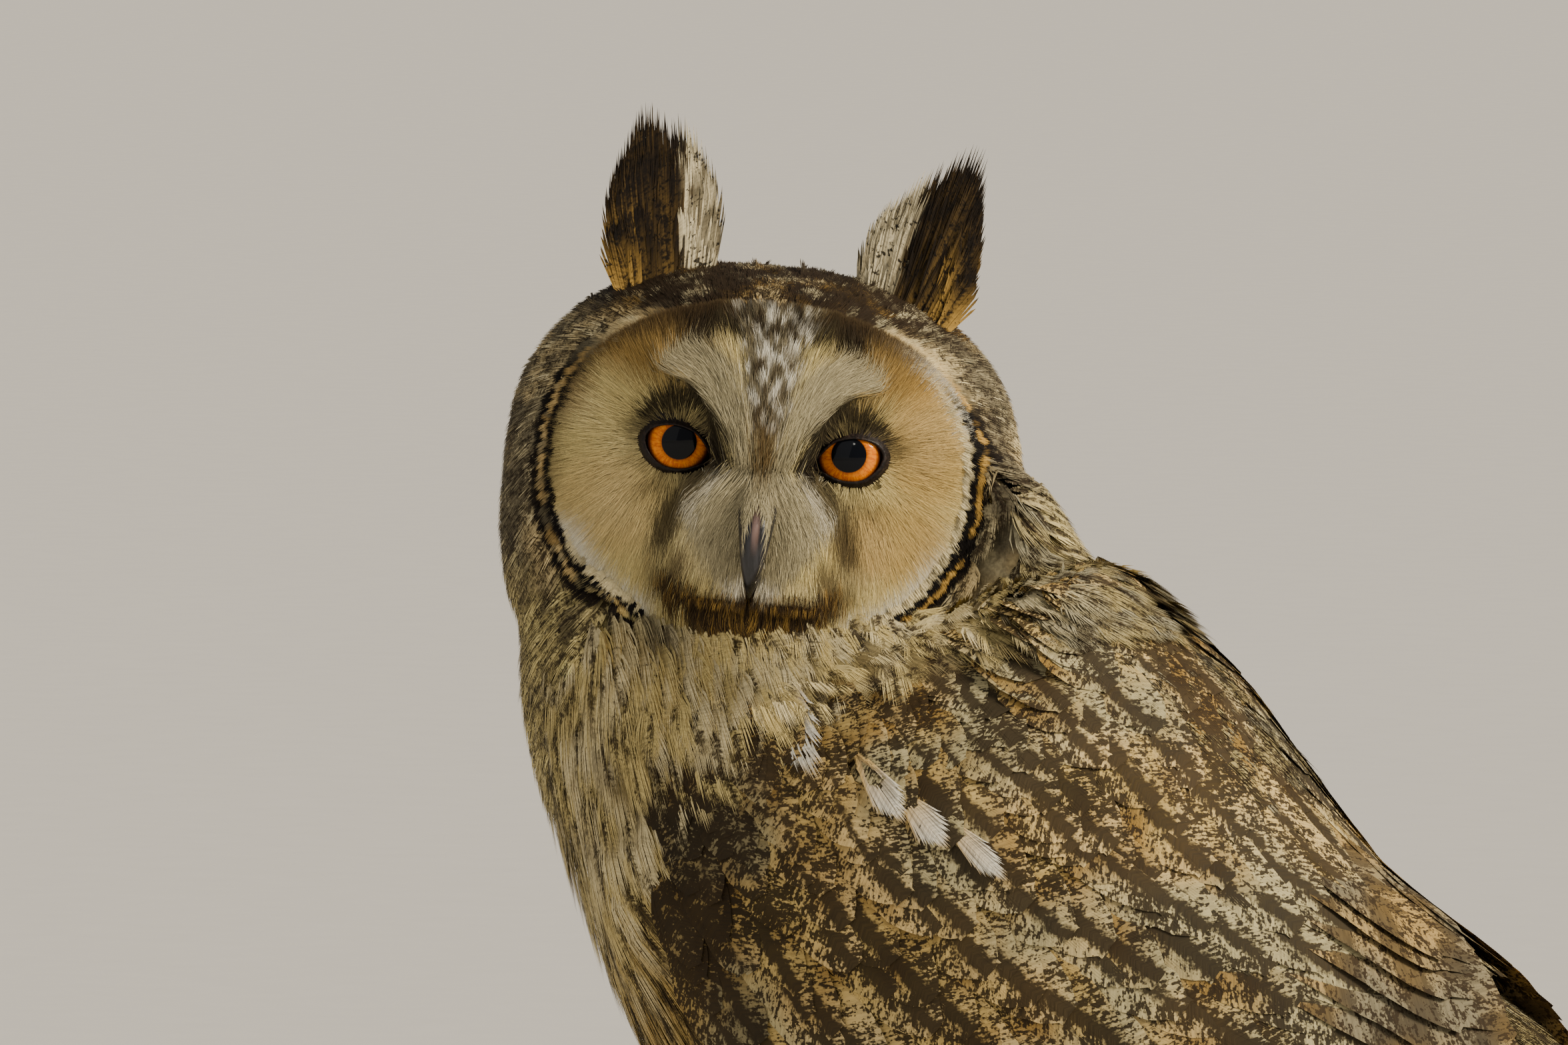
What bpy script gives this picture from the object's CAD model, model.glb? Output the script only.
import math
from collections import defaultdict, namedtuple

import bmesh
import bpy
import numpy as np
from mathutils import Matrix, Vector
from mathutils.bvhtree import BVHTree


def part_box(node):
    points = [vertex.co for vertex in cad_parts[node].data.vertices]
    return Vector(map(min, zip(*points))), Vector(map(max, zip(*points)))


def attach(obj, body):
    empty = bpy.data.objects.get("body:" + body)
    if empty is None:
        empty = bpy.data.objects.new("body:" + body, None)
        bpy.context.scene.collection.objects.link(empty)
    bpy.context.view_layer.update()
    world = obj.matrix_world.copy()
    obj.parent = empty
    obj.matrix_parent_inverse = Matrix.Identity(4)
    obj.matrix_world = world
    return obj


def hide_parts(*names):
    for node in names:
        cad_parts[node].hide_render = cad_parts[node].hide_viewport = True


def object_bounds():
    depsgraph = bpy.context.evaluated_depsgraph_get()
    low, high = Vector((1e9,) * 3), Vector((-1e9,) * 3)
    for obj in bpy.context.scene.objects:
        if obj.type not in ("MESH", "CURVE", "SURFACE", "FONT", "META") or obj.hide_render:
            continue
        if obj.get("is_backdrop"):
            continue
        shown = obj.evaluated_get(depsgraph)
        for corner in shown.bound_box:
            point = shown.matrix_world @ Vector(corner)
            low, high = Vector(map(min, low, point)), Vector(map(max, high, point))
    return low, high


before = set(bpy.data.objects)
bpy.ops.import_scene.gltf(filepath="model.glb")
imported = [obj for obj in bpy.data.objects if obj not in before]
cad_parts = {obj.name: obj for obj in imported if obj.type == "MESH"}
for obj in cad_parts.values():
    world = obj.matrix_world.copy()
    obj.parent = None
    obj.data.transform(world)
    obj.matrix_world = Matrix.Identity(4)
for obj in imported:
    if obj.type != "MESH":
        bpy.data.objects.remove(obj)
cad_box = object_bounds()
draw = np.random.default_rng(17)

# Sizes shared with the solids, in millimetres and degrees
EYE_HEIGHT = 225
EYE_DEPTH = 26
FACE_AZIMUTH = 20
FACE_ELEVATION = 4
HEAD_ROLL = 5.8
# Stations of the body: x, z, half-width, depth to the back and depth to the belly
BODY = np.array([
    [2, 197, 46, 57, 55],
    [12, 170, 49, 62, 60],
    [30, 146, 50, 64, 70],
    [52, 126, 50, 63, 69],
    [76, 110, 48, 58, 59],
    [106, 95, 40, 48, 38],
    [142, 80, 26, 39, 22],
    [195, 60, 15, 22, 10],
    [248, 38, 9, 7, 6],
], float)
STATION_GAP = 29
DISC = {"half_width": 41.7, "up": 31.5, "down": 34, "power": 2.2, "middle": -4}
TUCK = {"below": 9, "slope": 44, "soft": 12}
EYE = {"x": 17.2, "z": 0.4, "f": 17.6, "radius": 9.5}
PUPIL = 3.5
IRIS = 5.75
PUPIL_X = 16.75
PUPIL_Z = {1: 0.54, -1: -0.33}
# The opening between the lids, round the pupil: outwards and up
LID_EDGE = np.array([
    [6.8, 0.3], [5.4, 2.3], [2.4, 3.2], [-0.6, 3.0], [-3.6, 1.6],
    [-6.3, -2.3], [-4.2, -4.1], [-0.6, -5.2], [3.2, -4.7], [5.9, -2.4],
])
# The lids from the opening outwards: share of the way out, and distance from the eye's middle
LID_PROFILE = [
    (0.985, 9.3), (0.985, 9.7), (1.0, 9.95), (1.05, 10.15), (1.12, 10.1), (1.25, 9.8), (1.5, 9.65), (1.95, 9.6),
]
LID_REACH = 10.1
# The bill's rings from root to tip: forward, up, half-width and half-height
BILL_UPPER = [
    (27, -9, 4.6, 4.2), (33, -11.5, 4.2, 4.4), (36.6, -16, 3.6, 3.9),
    (37.6, -21.5, 2.7, 3.0), (36.8, -26, 1.6, 1.9), (34.6, -29.4, 0.35, 0.4),
]
BILL_LOWER = [
    (26, -17.5, 3.4, 2.0), (30, -18.8, 3.0, 1.9), (32.6, -21.2, 2.2, 1.4), (33.6, -23.6, 0.8, 0.6),
]
BILL_TIP = -29
# The bill's ridge and width from its tip to above its root, in the face's own frame
RIDGE = {
    "z": [BILL_TIP, -26, -21.3, -14.4, -7.9, -4.8], "f": [35, 38.7, 40.6, 40.1, 35.6, 30.5],
    "half": [0.5, 1.5, 2.4, 3.2, 3.8, 4.0],
}
BILL_ROUND = 3.8
FLESH = ["head", "neck", "torso", "leg_left", "leg_right", "foot_left", "foot_right"]
LEG_TOP = 78
SKIN_CELL = 0.002
LOWEST = 0.3

# The camera, from the photograph's framing
LENS = 300
SENSOR = 36
CAMERA_AWAY = 2579
CAMERA_RIGHT = 3.95
CAMERA_DOWN = 14.47

# Sizes of feathers' patches on the unwrap, and the unwrap's half-width
PATCH = {"tuft": 0.003, "vane": 0.008, "tail": 0.075}
UNWRAP_HALF = 0.48


# Arithmetic on arrays of points

def unit(vectors):
    return vectors / np.maximum(np.linalg.norm(vectors, axis=-1, keepdims=True), 1e-9)


def stacked(*parts):
    """Vectors from parts that are numbers or arrays of a like shape."""
    return np.stack(np.broadcast_arrays(*parts), -1)


def lerp(start, end, share):
    return start + (end - start) * share


def ramp(low, high, values):
    """0 below low, 1 above high, and smooth between."""
    share = np.clip((values - low) / (high - low), 0, 1)
    return share * share * (3 - 2 * share)


def hill(*offsets):
    return np.exp(-sum(np.square(offset) for offset in offsets))


def mixed(first, second, share):
    return lerp(first, second, np.clip(share, 0, 1)[..., None])


def srgb(red, green, blue):
    """A colour on the linear scale from one that a screen shows, 0 to 255."""
    values = np.array([red, green, blue]) / 255
    return np.where(values < 0.04045, values / 12.92, ((values + 0.055) / 1.055) ** 2.4)


def heading(azimuth, elevation):
    """A direction at degrees from -Y towards +X and degrees up."""
    turn, rise = math.radians(azimuth), math.radians(elevation)
    return np.array([math.sin(turn) * math.cos(rise), -math.cos(turn) * math.cos(rise), math.sin(rise)])


def scatter(cells, seed):
    """An even draw from 0 to 1 for each whole-numbered cell."""
    x, y, z = (cells[..., i].astype(np.int64) for i in range(3))
    mess = x * 73856093 ^ y * 19349663 ^ z * 83492791 ^ (seed * 2654435761)
    mess = (mess ^ (mess >> 13)) * 1274126177 & 0xFFFFFFFF
    return ((mess ^ (mess >> 16)) & 0xFFFF) / 65535


def mottle(points, size, seed=1):
    """Soft blotches of about this size, from 0 to 1."""
    place = points / size
    cell = np.floor(place)
    part = place - cell
    part = part * part * (3 - 2 * part)
    total = 0
    for corner in np.ndindex(2, 2, 2):
        weight = np.prod(np.where(corner, part, 1 - part), axis=-1)
        total = total + weight * scatter(cell + corner, seed)
    return total


def smooth(rows, place):
    """A smooth curve through evenly spaced rows of values."""
    rows = np.vstack([2 * rows[:1] - rows[1:2], rows, 2 * rows[-1:] - rows[-2:-1]])
    first = np.clip(np.floor(place).astype(int), 0, len(rows) - 4)
    part = (place - first)[..., None]
    a, b, c, d = (rows[first + k] for k in range(4))
    return b + 0.5 * part * (c - a + part * (2 * a - 5 * b + 4 * c - d + part * (3 * (b - c) + d - a)))


PALE_BUFF = srgb(224, 205, 140)
GOLD = srgb(194, 154, 78)
CREAM = srgb(228, 212, 166)
WHITE = srgb(238, 232, 214)
GREY = srgb(156, 148, 120)
BROWN = srgb(78, 61, 40)
DARK = srgb(33, 26, 19)
BLACK = srgb(22, 18, 15)
SOOT = lerp(DARK, BROWN, 0.3)
UMBER = lerp(DARK, BROWN, 0.5)
STRAW = lerp(GOLD, PALE_BUFF, 0.45)
TAN = lerp(GOLD, BROWN, 0.45)
ACROSS = np.array([0, 1, 0])
DOWN = np.array([0.0, 0.0, -1.0])


# The body's form

def station(place):
    """Middle, way to the back, half-width, and depths to back and belly at a place along the body."""
    row = smooth(BODY, place)
    ahead, behind = smooth(BODY, place + 0.02), smooth(BODY, place - 0.02)
    step = unit(ahead[..., :2] - behind[..., :2])
    centre = stacked(row[..., 0], 0, row[..., 1])
    dorsal = stacked(-step[..., 1], 0, step[..., 0])
    return centre, dorsal, row[..., 2], row[..., 3], row[..., 4]


def section(place, angle):
    """As a station, but with one depth, on the side that an angle is on, and the angle in radians."""
    centre, dorsal, wide, back, belly = station(place)
    turn = np.radians(angle)
    return centre, dorsal, wide, np.where(np.cos(turn) > 0, back, belly), turn


def tuck(points):
    """How far back plumage under the turned face lies, to stay behind the disc and spread from below it."""
    x, f, z = to_head(points)
    outside = np.maximum(disc_share(x, z), 1)
    rim = face_depth(x / outside, (z - DISC["middle"]) / outside + DISC["middle"])
    over = np.maximum(f - (rim - TUCK["below"] + TUCK["slope"] * (outside - 1)), 0)
    return np.where(over < TUCK["soft"], over**2 / (2 * TUCK["soft"]), over - TUCK["soft"] / 2)


def over_body(place, angle, height, side):
    """Points over the body: angle 0 on the back and 180 on the belly, side -1 on the bird's left."""
    centre, dorsal, wide, deep, turn = section(place, angle)

    def raised(up):
        lifted = dorsal * ((deep + up) * np.cos(turn))[..., None]
        return centre + lifted + ACROSS * ((wide + up) * np.sin(turn) * side)[..., None]

    return raised(height) - FACE_OUT * tuck(raised(0))[..., None]


def out_of_body(place, angle, side):
    _, dorsal, wide, deep, turn = section(place, angle)
    lifted = dorsal * (np.cos(turn) / deep)[..., None]
    return unit(lifted + ACROSS * (np.sin(turn) / wide * side)[..., None])


# The head's own frame: x to the bird's left, f forward, z up

FACE_OUT = heading(FACE_AZIMUTH, FACE_ELEVATION)
LEVEL_LEFT = np.array([math.cos(math.radians(FACE_AZIMUTH)), math.sin(math.radians(FACE_AZIMUTH)), 0])
ROLL = Matrix.Rotation(-math.radians(HEAD_ROLL), 3, Vector(FACE_OUT))
HEAD_LEFT = np.array(ROLL @ Vector(LEVEL_LEFT))
HEAD_UP = np.cross(FACE_OUT, HEAD_LEFT)
HEAD_MIDDLE = np.array([0, 0, EYE_HEIGHT - EYE_DEPTH * FACE_OUT[2]])


def in_head(x, f, z):
    x, f, z = (np.asarray(value, float)[..., None] for value in (x, f, z))
    return HEAD_MIDDLE + HEAD_LEFT * x + FACE_OUT * f + HEAD_UP * z


def to_head(points):
    apart = points - HEAD_MIDDLE
    return apart @ HEAD_LEFT, apart @ FACE_OUT, apart @ HEAD_UP


def face_depth(x, z):
    """How far forward the face reaches, with hollows round the eyes, brows, and cheeks beside the bill."""
    wide = np.abs(x)
    dome = 32.5 - 0.0098 * x * x - 0.0042 * (z - 2) ** 2
    brow_z = lerp(3, 15, np.clip((wide - 6) / 17, 0, 1))
    bowl = 4.6 * hill((wide - 20) / 11, (z + 1) / 13)
    ridge = 2.4 * hill(wide / 6, (z - 4) / 18)
    brow = 2.0 * hill((wide - 14) / 10, (z - brow_z) / 4.2)
    cheek = 2.2 * hill((wide - 9) / 6, (z + 17) / 9)
    return dome - bowl + ridge + brow + cheek


def disc_share(x, z):
    """How far out a place of the face lies: 0 in the disc's middle and 1 on its rim."""
    z = z - DISC["middle"]
    high = np.where(z > 0, DISC["up"], DISC["down"])
    power = DISC["power"]
    return (np.abs(x / DISC["half_width"]) ** power + np.abs(z / high) ** power) ** (1 / power)


# From the bird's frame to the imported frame

eye_boxes = [np.array(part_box(f"eye_{side}"), float) for side in ("left", "right")]
packed_eyes = sum(box.mean(axis=0) for box in eye_boxes) / 2
SHIFT = packed_eyes * 1000 - in_head(0, EYE["f"], EYE["z"])


def packed(points):
    return (points + SHIFT) / 1000


def bird(points):
    return points * 1000 - SHIFT


# Materials

class Nodes:
    """Short names for the nodes of one material."""

    def __init__(self, name):
        self.material = bpy.data.materials.new(name)
        self.material.use_nodes = True
        self.tree = self.material.node_tree
        self.shader = self.tree.nodes["Principled BSDF"]

    def put(self, sockets, values):
        """Links or sets inputs, by number or name."""
        for key, value in values.items():
            if isinstance(value, bpy.types.NodeSocket):
                self.tree.links.new(value, sockets[key])
            else:
                sockets[key].default_value = value

    def node(self, kind, *values, **settings):
        """A new node with its settings and first inputs."""
        node = self.tree.nodes.new("ShaderNode" + kind)
        for name, setting in settings.items():
            setattr(node, name, setting)
        self.put(node.inputs, dict(enumerate(values)))
        return node

    def attribute(self, name, output="Vector"):
        return self.node("Attribute", attribute_name=name).outputs[output]

    def place(self):
        return self.node("TexCoord").outputs["Object"]

    def parts(self, vector):
        return self.node("SeparateXYZ", vector).outputs[:3]

    def vector(self, *parts):
        return self.node("CombineXYZ", *parts).outputs[0]

    def math(self, operation, *values):
        return self.node("Math", *values, operation=operation).outputs[0]

    def times(self, *values):
        return self.math("MULTIPLY", *values)

    def minus(self, *values):
        return self.math("SUBTRACT", *values)

    def times_plus(self, *values):
        return self.math("MULTIPLY_ADD", *values)

    def ramp(self, value, low, high, start=0.0, end=1.0):
        return self.node("MapRange", value, low, high, start, end, interpolation_type="SMOOTHSTEP").outputs[0]

    def mix(self, first, second, share):
        node = self.node("Mix", share, data_type="RGBA")
        self.put(node.inputs, {6: first, 7: second})
        return node.outputs[2]

    def noise(self, vector, scale, detail=2.0, roughness=0.5):
        node = self.node("TexNoise", vector)
        self.put(node.inputs, {"Scale": scale, "Detail": detail, "Roughness": roughness})
        return node.outputs["Fac"]

    def bump(self, height, strength, distance):
        node = self.node("Bump")
        self.put(node.inputs, {"Strength": strength, "Distance": distance, "Height": height})
        self.put(self.shader.inputs, {"Normal": node.outputs[0]})

    def finish(self, color, roughness, **steady):
        self.put(self.shader.inputs, {"Base Color": color, "Roughness": roughness})
        for name, value in steady.items():
            self.shader.inputs[name.replace("_", " ")].default_value = value
        return self.material


def opaque(*color):
    """A colour given on the screen's scale, as a socket takes it."""
    return (*[float(part) for part in srgb(*color)], 1.0)


def plumage_material():
    """Feathers: their own tint, with a dark shaft streak, bars and fine speckles as each feather's marks say."""
    n = Nodes("plumage")
    tint = n.attribute("tint", "Color")
    along, across, seed = n.parts(n.attribute("lay"))
    length, half, _ = n.parts(n.attribute("reach"))
    streak, bars, grain = n.parts(n.attribute("marks"))
    beside = n.times(across, half)
    side = n.math("ABSOLUTE", beside)
    barb = n.times_plus(side, -0.6, n.times(along, length))
    dashes = n.noise(n.vector(n.times(barb, 1.35), n.times(beside, 0.55), seed), 1.0, 2.0, 0.6)
    patches = n.noise(n.place(), 420.0, 1.5)
    worms = n.times_plus(n.noise(n.place(), 1700.0, 1.5), 0.4, n.times(dashes, 0.6))
    worms = n.times_plus(n.minus(patches, 0.5), 0.4, worms)
    level = n.times_plus(grain, -0.3, 0.74)
    specks = n.ramp(n.minus(worms, level), -0.05, 0.05)
    edge = n.times_plus(n.minus(worms, 0.5), 6.0, n.times(streak, 4.0))
    shaft = n.times(n.ramp(n.minus(edge, side), -0.9, 0.7), n.ramp(streak, 0.0, 0.06))
    waves = n.times_plus(worms, 4.0, n.times_plus(barb, 0.46, seed))
    waves = n.times(n.ramp(n.math("SINE", waves), -0.15, 0.4), bars)
    dark = n.math("MAXIMUM", n.math("MAXIMUM", shaft, waves), specks)
    hair = n.noise(n.vector(n.times(barb, 1.9), n.times(beside, 0.16), seed), 1.0)
    color = n.mix(tint, n.attribute("shade", "Color"), n.times(dark, 0.94))
    color = n.mix(color, (0.0, 0.0, 0.0, 1.0), n.ramp(hair, 0.66, 0.3, 0.0, 0.28))
    n.bump(hair, 0.3, 0.0003)
    return n.finish(color, n.ramp(hair, 0.3, 0.7, 0.62, 0.85), Specular_IOR_Level=0.12)


def skin_material():
    """The down and skin under the feathers, in their tints but darker."""
    n = Nodes("down")
    down = n.noise(n.place(), 900.0, 3.0, 0.6)
    color = n.mix(n.attribute("tint", "Color"), (0.02, 0.015, 0.012, 1.0), n.ramp(down, 0.7, 0.3, 0.15, 0.55))
    n.bump(down, 0.6, 0.0006)
    return n.finish(color, n.ramp(down, 0.3, 0.7, 0.95, 0.8), Specular_IOR_Level=0.15)


def grained_material(name, scale, colors, span, bump, gloss, **steady):
    """Two colours mixed by a fine grain, over a span of it, and the roughness that goes with them."""
    n = Nodes(name)
    grain = n.noise(n.place(), scale, 3.0, 0.6)
    color = n.mix(*colors, n.ramp(grain, *span))
    n.bump(grain, *bump)
    return n.finish(color, n.ramp(grain, 0.3, 0.7, *gloss), **steady)


def lid_material():
    return grained_material("eyelid", 1400.0, (opaque(22, 16, 14), opaque(50, 38, 32)), (0.45, 0.75),
                            (0.4, 0.0003), (0.35, 0.6), Specular_IOR_Level=0.2)


def claw_material():
    return grained_material("claw_horn", 700.0, (opaque(14, 13, 15), opaque(58, 54, 54)), (0.55, 0.85),
                            (0.2, 0.0002), (0.2, 0.4), Coat_Weight=0.2, Coat_Roughness=0.15)


def bill_material():
    """Slate-black horn, paler and pinkish along the ridge near its base."""
    n = Nodes("bill_horn")
    stretched = [n.times(part, scale) for part, scale in zip(n.parts(n.place()), (900.0, 900.0, 150.0))]
    streaks = n.noise(n.vector(*stretched), 1.0, 3.0, 0.6)
    horn = n.mix(opaque(18, 18, 22), opaque(46, 45, 50), n.ramp(streaks, 0.4, 0.75))
    color = n.mix(horn, n.attribute("tint", "Color"), n.attribute("tint", "Alpha"))
    n.bump(streaks, 0.15, 0.0003)
    return n.finish(color, n.ramp(streaks, 0.3, 0.7, 0.24, 0.42), Coat_Weight=0.15, Coat_Roughness=0.2)


def eye_material():
    """Orange iris round a black pupil, under a wet, clear surface."""
    n = Nodes("eye")
    across, up, _ = n.parts(n.attribute("gaze"))
    out = n.math("SQRT", n.math("ADD", n.times(across, across), n.times(up, up)))
    turn = n.math("ARCTAN2", up, across)
    circle = [n.times(n.math(wave, turn), 5.0) for wave in ("SINE", "COSINE")]
    rays = n.noise(n.vector(*circle, n.times(out, 0.35)), 2.5, 3.0, 0.6)
    fleck = n.noise(n.vector(across, up, 3.0), 1.6, 3.0)
    color = n.mix(opaque(232, 132, 0), opaque(190, 88, 0), n.ramp(rays, 0.35, 0.7))
    for tone, share in (
        ((244, 158, 0), n.ramp(fleck, 0.5, 0.75, 0.0, 0.5)),
        ((120, 52, 2), n.ramp(out, PUPIL + 0.8, PUPIL - 0.1, 0.0, 0.6)),
        ((96, 44, 6), n.ramp(out, IRIS - 0.7, IRIS + 0.15)),
        ((6, 8, 14), n.ramp(out, PUPIL + 0.12, PUPIL - 0.12)),
        ((28, 18, 16), n.ramp(out, IRIS + 0.05, IRIS + 0.5)),
    ):
        color = n.mix(color, opaque(*tone), share)
    return n.finish(color, n.ramp(rays, 0.3, 0.7, 0.04, 0.08), Specular_IOR_Level=0.18)


def floor_material():
    n = Nodes("floor")
    grain = n.noise(n.place(), 60.0, 4.0)
    color = n.mix(opaque(214, 211, 205), opaque(206, 203, 197), grain)
    return n.finish(color, n.ramp(grain, 0.3, 0.7, 0.8, 0.9), Specular_IOR_Level=0.2)


# Meshes

def paint(mesh, name, values):
    """Keeps an array of values at the mesh's points, for its material to read."""
    kind, field = ("FLOAT_COLOR", "color") if values.shape[-1] == 4 else ("FLOAT_VECTOR", "vector")
    layer = mesh.attributes.new(name, kind, "POINT")
    layer.data.foreach_set(field, values.astype(np.float32).ravel())


def with_alpha(colors, alpha=1.0):
    return np.concatenate([colors, np.broadcast_to(alpha, colors.shape[:-1])[..., None]], -1)


def mesh_of(name, points, faces):
    """A smooth mesh from points in the bird's frame and an array of faces."""
    mesh = bpy.data.meshes.new(name)
    mesh.vertices.add(len(points))
    mesh.vertices.foreach_set("co", packed(points).astype(np.float32).ravel())
    mesh.loops.add(faces.size)
    mesh.loops.foreach_set("vertex_index", faces.astype(np.int32).ravel())
    mesh.polygons.add(len(faces))
    mesh.polygons.foreach_set("loop_start", np.arange(0, faces.size, faces.shape[1], dtype=np.int32))
    mesh.update(calc_edges=True)
    mesh.shade_smooth()
    return mesh


def piece_of(mesh, material, slot, replaced=()):
    piece = bpy.data.objects.new(mesh.name, mesh)
    bpy.context.collection.objects.link(piece)
    mesh.materials.clear()
    mesh.materials.append(material)
    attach(piece, "root")
    if replaced:
        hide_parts(*replaced)
    return piece


def strips(rows, count):
    """For each ring but the last, the numbers of its points and of the next point round it."""
    here = np.arange(count)
    for row in range(rows - 1):
        yield row * count + here, row * count + (here + 1) % count


def loft(rings):
    """Points and faces of a closed form from an array of rings."""
    rows, count = rings.shape[:2]
    points = np.concatenate([rings.reshape(-1, 3), rings[:1].mean(axis=1), rings[-1:].mean(axis=1)])
    faces = []
    for a, b in strips(rows, count):
        faces += [stacked(a, b, b + count), stacked(a, b + count, a + count)]
    here = np.arange(count)
    ahead = (here + 1) % count
    end = (rows - 1) * count
    faces += [stacked(rows * count, ahead, here), stacked(rows * count + 1, end + here, end + ahead)]
    return points, np.concatenate(faces)


# The skin

def merged_flesh():
    """One closed mesh round all the nodes of flesh."""
    joined = bmesh.new()
    for name in FLESH:
        joined.from_mesh(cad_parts[name].data)
    mesh = bpy.data.meshes.new("flesh")
    joined.to_mesh(mesh)
    joined.free()
    piece = bpy.data.objects.new("flesh", mesh)
    bpy.context.collection.objects.link(piece)
    remesh = piece.modifiers.new("merge", "REMESH")
    remesh.mode = "VOXEL"
    remesh.voxel_size = SKIN_CELL
    whole = bpy.data.meshes.new_from_object(piece.evaluated_get(bpy.context.evaluated_depsgraph_get()))
    bpy.data.objects.remove(piece)
    return whole


def largest_part(mesh):
    """Points and quads of the mesh's largest connected part, in the bird's frame."""
    points = np.zeros(len(mesh.vertices) * 3)
    mesh.vertices.foreach_get("co", points)
    corners = np.zeros(len(mesh.loops), np.int32)
    mesh.loops.foreach_get("vertex_index", corners)
    faces = corners.reshape(-1, 4)
    label = np.arange(len(points) // 3)
    while True:
        least = label[faces].min(axis=1)
        new = label.copy()
        np.minimum.at(new, faces.ravel(), np.repeat(least, 4))
        new = new[new]
        if (new == label).all():
            break
        label = new
    kept = np.bincount(label).argmax()
    faces = faces[label[faces[:, 0]] == kept]
    used, faces = np.unique(faces, return_inverse=True)
    return bird(points.reshape(-1, 3)[used]), faces.reshape(-1, 4)


def relaxed(points, faces, share, rounds):
    """Each point drawn by its share towards the middle of its neighbours, some times over."""
    ring = np.concatenate([faces[:, [k, (k + 1) % 4]] for k in range(4)])
    count = np.bincount(ring[:, 0], minlength=len(points))[:, None]
    for _ in range(rounds):
        total = stacked(*[np.bincount(ring[:, 0], points[ring[:, 1], k], len(points)) for k in range(3)])
        points = lerp(points, total / count, share)
    return points


def normals_of(points, faces):
    quads = points[faces]
    flat = np.cross(quads[:, 2] - quads[:, 0], quads[:, 3] - quads[:, 1])
    return unit(stacked(*[np.bincount(faces.ravel(), np.repeat(flat[:, k], 4), len(points)) for k in range(3)]))


class Surface:
    """The outer reach of the plumage, to lay feathers over."""

    def __init__(self, points, faces):
        self.tree = BVHTree.FromPolygons(points.tolist(), faces.tolist())

    def nearest(self, points):
        """The nearest places, the surface's normals there and how far away they are."""
        found = [self.tree.find_nearest(point) for point in points.tolist()]
        return [np.array([hit[k] for hit in found]) for k in (0, 1, 3)]

    def struck(self, start, directions):
        """Where rays from a point inside leave the surface."""
        found = [self.tree.ray_cast(start.tolist(), way)[0] for way in directions.tolist()]
        return np.array([place for place in found if place is not None])


def from_middle(points):
    """How far points are from the head's middle."""
    return np.linalg.norm(points - HEAD_MIDDLE, axis=-1)


def coat_depth(points):
    """How deep the skin lies inside the coat's reach."""
    x, f, z = to_head(points)
    depth = lerp(3.2, 5.5, ramp(52, 66, from_middle(points)))
    depth = lerp(depth, 1.4, ramp(2, 12, f) * ramp(1.1, 0.95, disc_share(x, z)))
    low = ramp(LEG_TOP, 55, points[:, 2]) * ramp(95, 80, points[:, 0])
    return lerp(depth, lerp(0.8, 1.6, ramp(12, 24, points[:, 2])), low)


flesh_points, flesh_faces = largest_part(merged_flesh())
body_share = ramp(70, 100, flesh_points[:, 2])[:, None]
flesh_points = relaxed(flesh_points, flesh_faces, 0.5 * body_share + 0.1, 8)
flesh_normals = normals_of(flesh_points, flesh_faces)
envelope = Surface(flesh_points, flesh_faces)


# Feathers. A template is one feather in the flat, as rows of (along, across, lift, barb), and triangles.

INSIDE = 99


def blade_template(rows):
    """A thin tapering blade, for filaments."""
    points, faces = [], []
    for i in range(rows):
        along = i / rows
        half = 0.5 * (1 - along) ** 0.6 + 0.1
        points += [(along, -half, 0, 0), (along, half, 0, 0)]
    points.append((1, 0, 0, 0))
    for a in range(0, 2 * rows - 2, 2):
        faces += [(a, a + 1, a + 3), (a, a + 3, a + 2)]
    faces.append((2 * rows - 2, 2 * rows - 1, 2 * rows))
    return np.array(points, float), np.array(faces)


def lock_template(strands, thick=0.13, blunt=False):
    """A loose, silky feather: thin strands side by side that fan out a little from the shaft."""
    own = np.random.default_rng(strands)
    points, faces = [], []
    for k in range(strands):
        side = 2 * (k + 0.5) / strands - 1
        root = 0.32 * abs(side) * own.uniform(0.7, 1)
        tip = 1 - 0.38 * side * side + own.uniform(-0.08, 0.08)
        half = thick * own.uniform(0.7, 1.2)
        lift = own.uniform(-0.1, 0.4)
        base = len(points)
        middle = lerp(root, tip, 0.85 if blunt else 0.5)
        points += [
            (root, 0.45 * side - half, 0, k), (root, 0.45 * side + half, 0, k),
            (middle, 0.85 * side - 0.8 * half, lift, k), (middle, 0.85 * side + 0.8 * half, lift, k),
            (tip, side, 0.6 * lift, k),
        ]
        faces += [tuple(base + i for i in face) for face in ((0, 1, 3), (0, 3, 2), (2, 3, 4))]
    return np.array(points, float), np.array(faces)


def soft_vane_template(rows, strands, tip_round=0.55):
    """A small contour feather: a close vane with a fringe of fine barb ends round its outer half."""
    points, faces = vane_template(rows, 0.16, tip_round, 0.006)
    extra, more = [], []
    for k in range(strands):
        turn = 2 * (k + 0.5) / strands - 1
        along = 1 - 0.55 * abs(turn) ** 1.7
        past = max(0, (along - 1 + tip_round) / tip_round)
        across = math.copysign(math.sqrt(max(0.02, 1 - past**2)), turn)
        base = len(points) + len(extra)
        barb = rows + 1 + k
        extra += [
            (along - 0.2, 0.84 * across, 0.03, barb), (along - 0.13, 0.9 * across, 0.03, barb),
            (along + 0.03, 1.04 * across, 0.0, barb),
        ]
        more.append((base, base + 1, base + 2) if turn > 0 else (base, base + 2, base + 1))
    points[points[:, 3] == INSIDE, 3] = rows + 1 + strands
    return np.vstack([points, np.array(extra)]), np.vstack([faces, np.array(more)])


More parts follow.
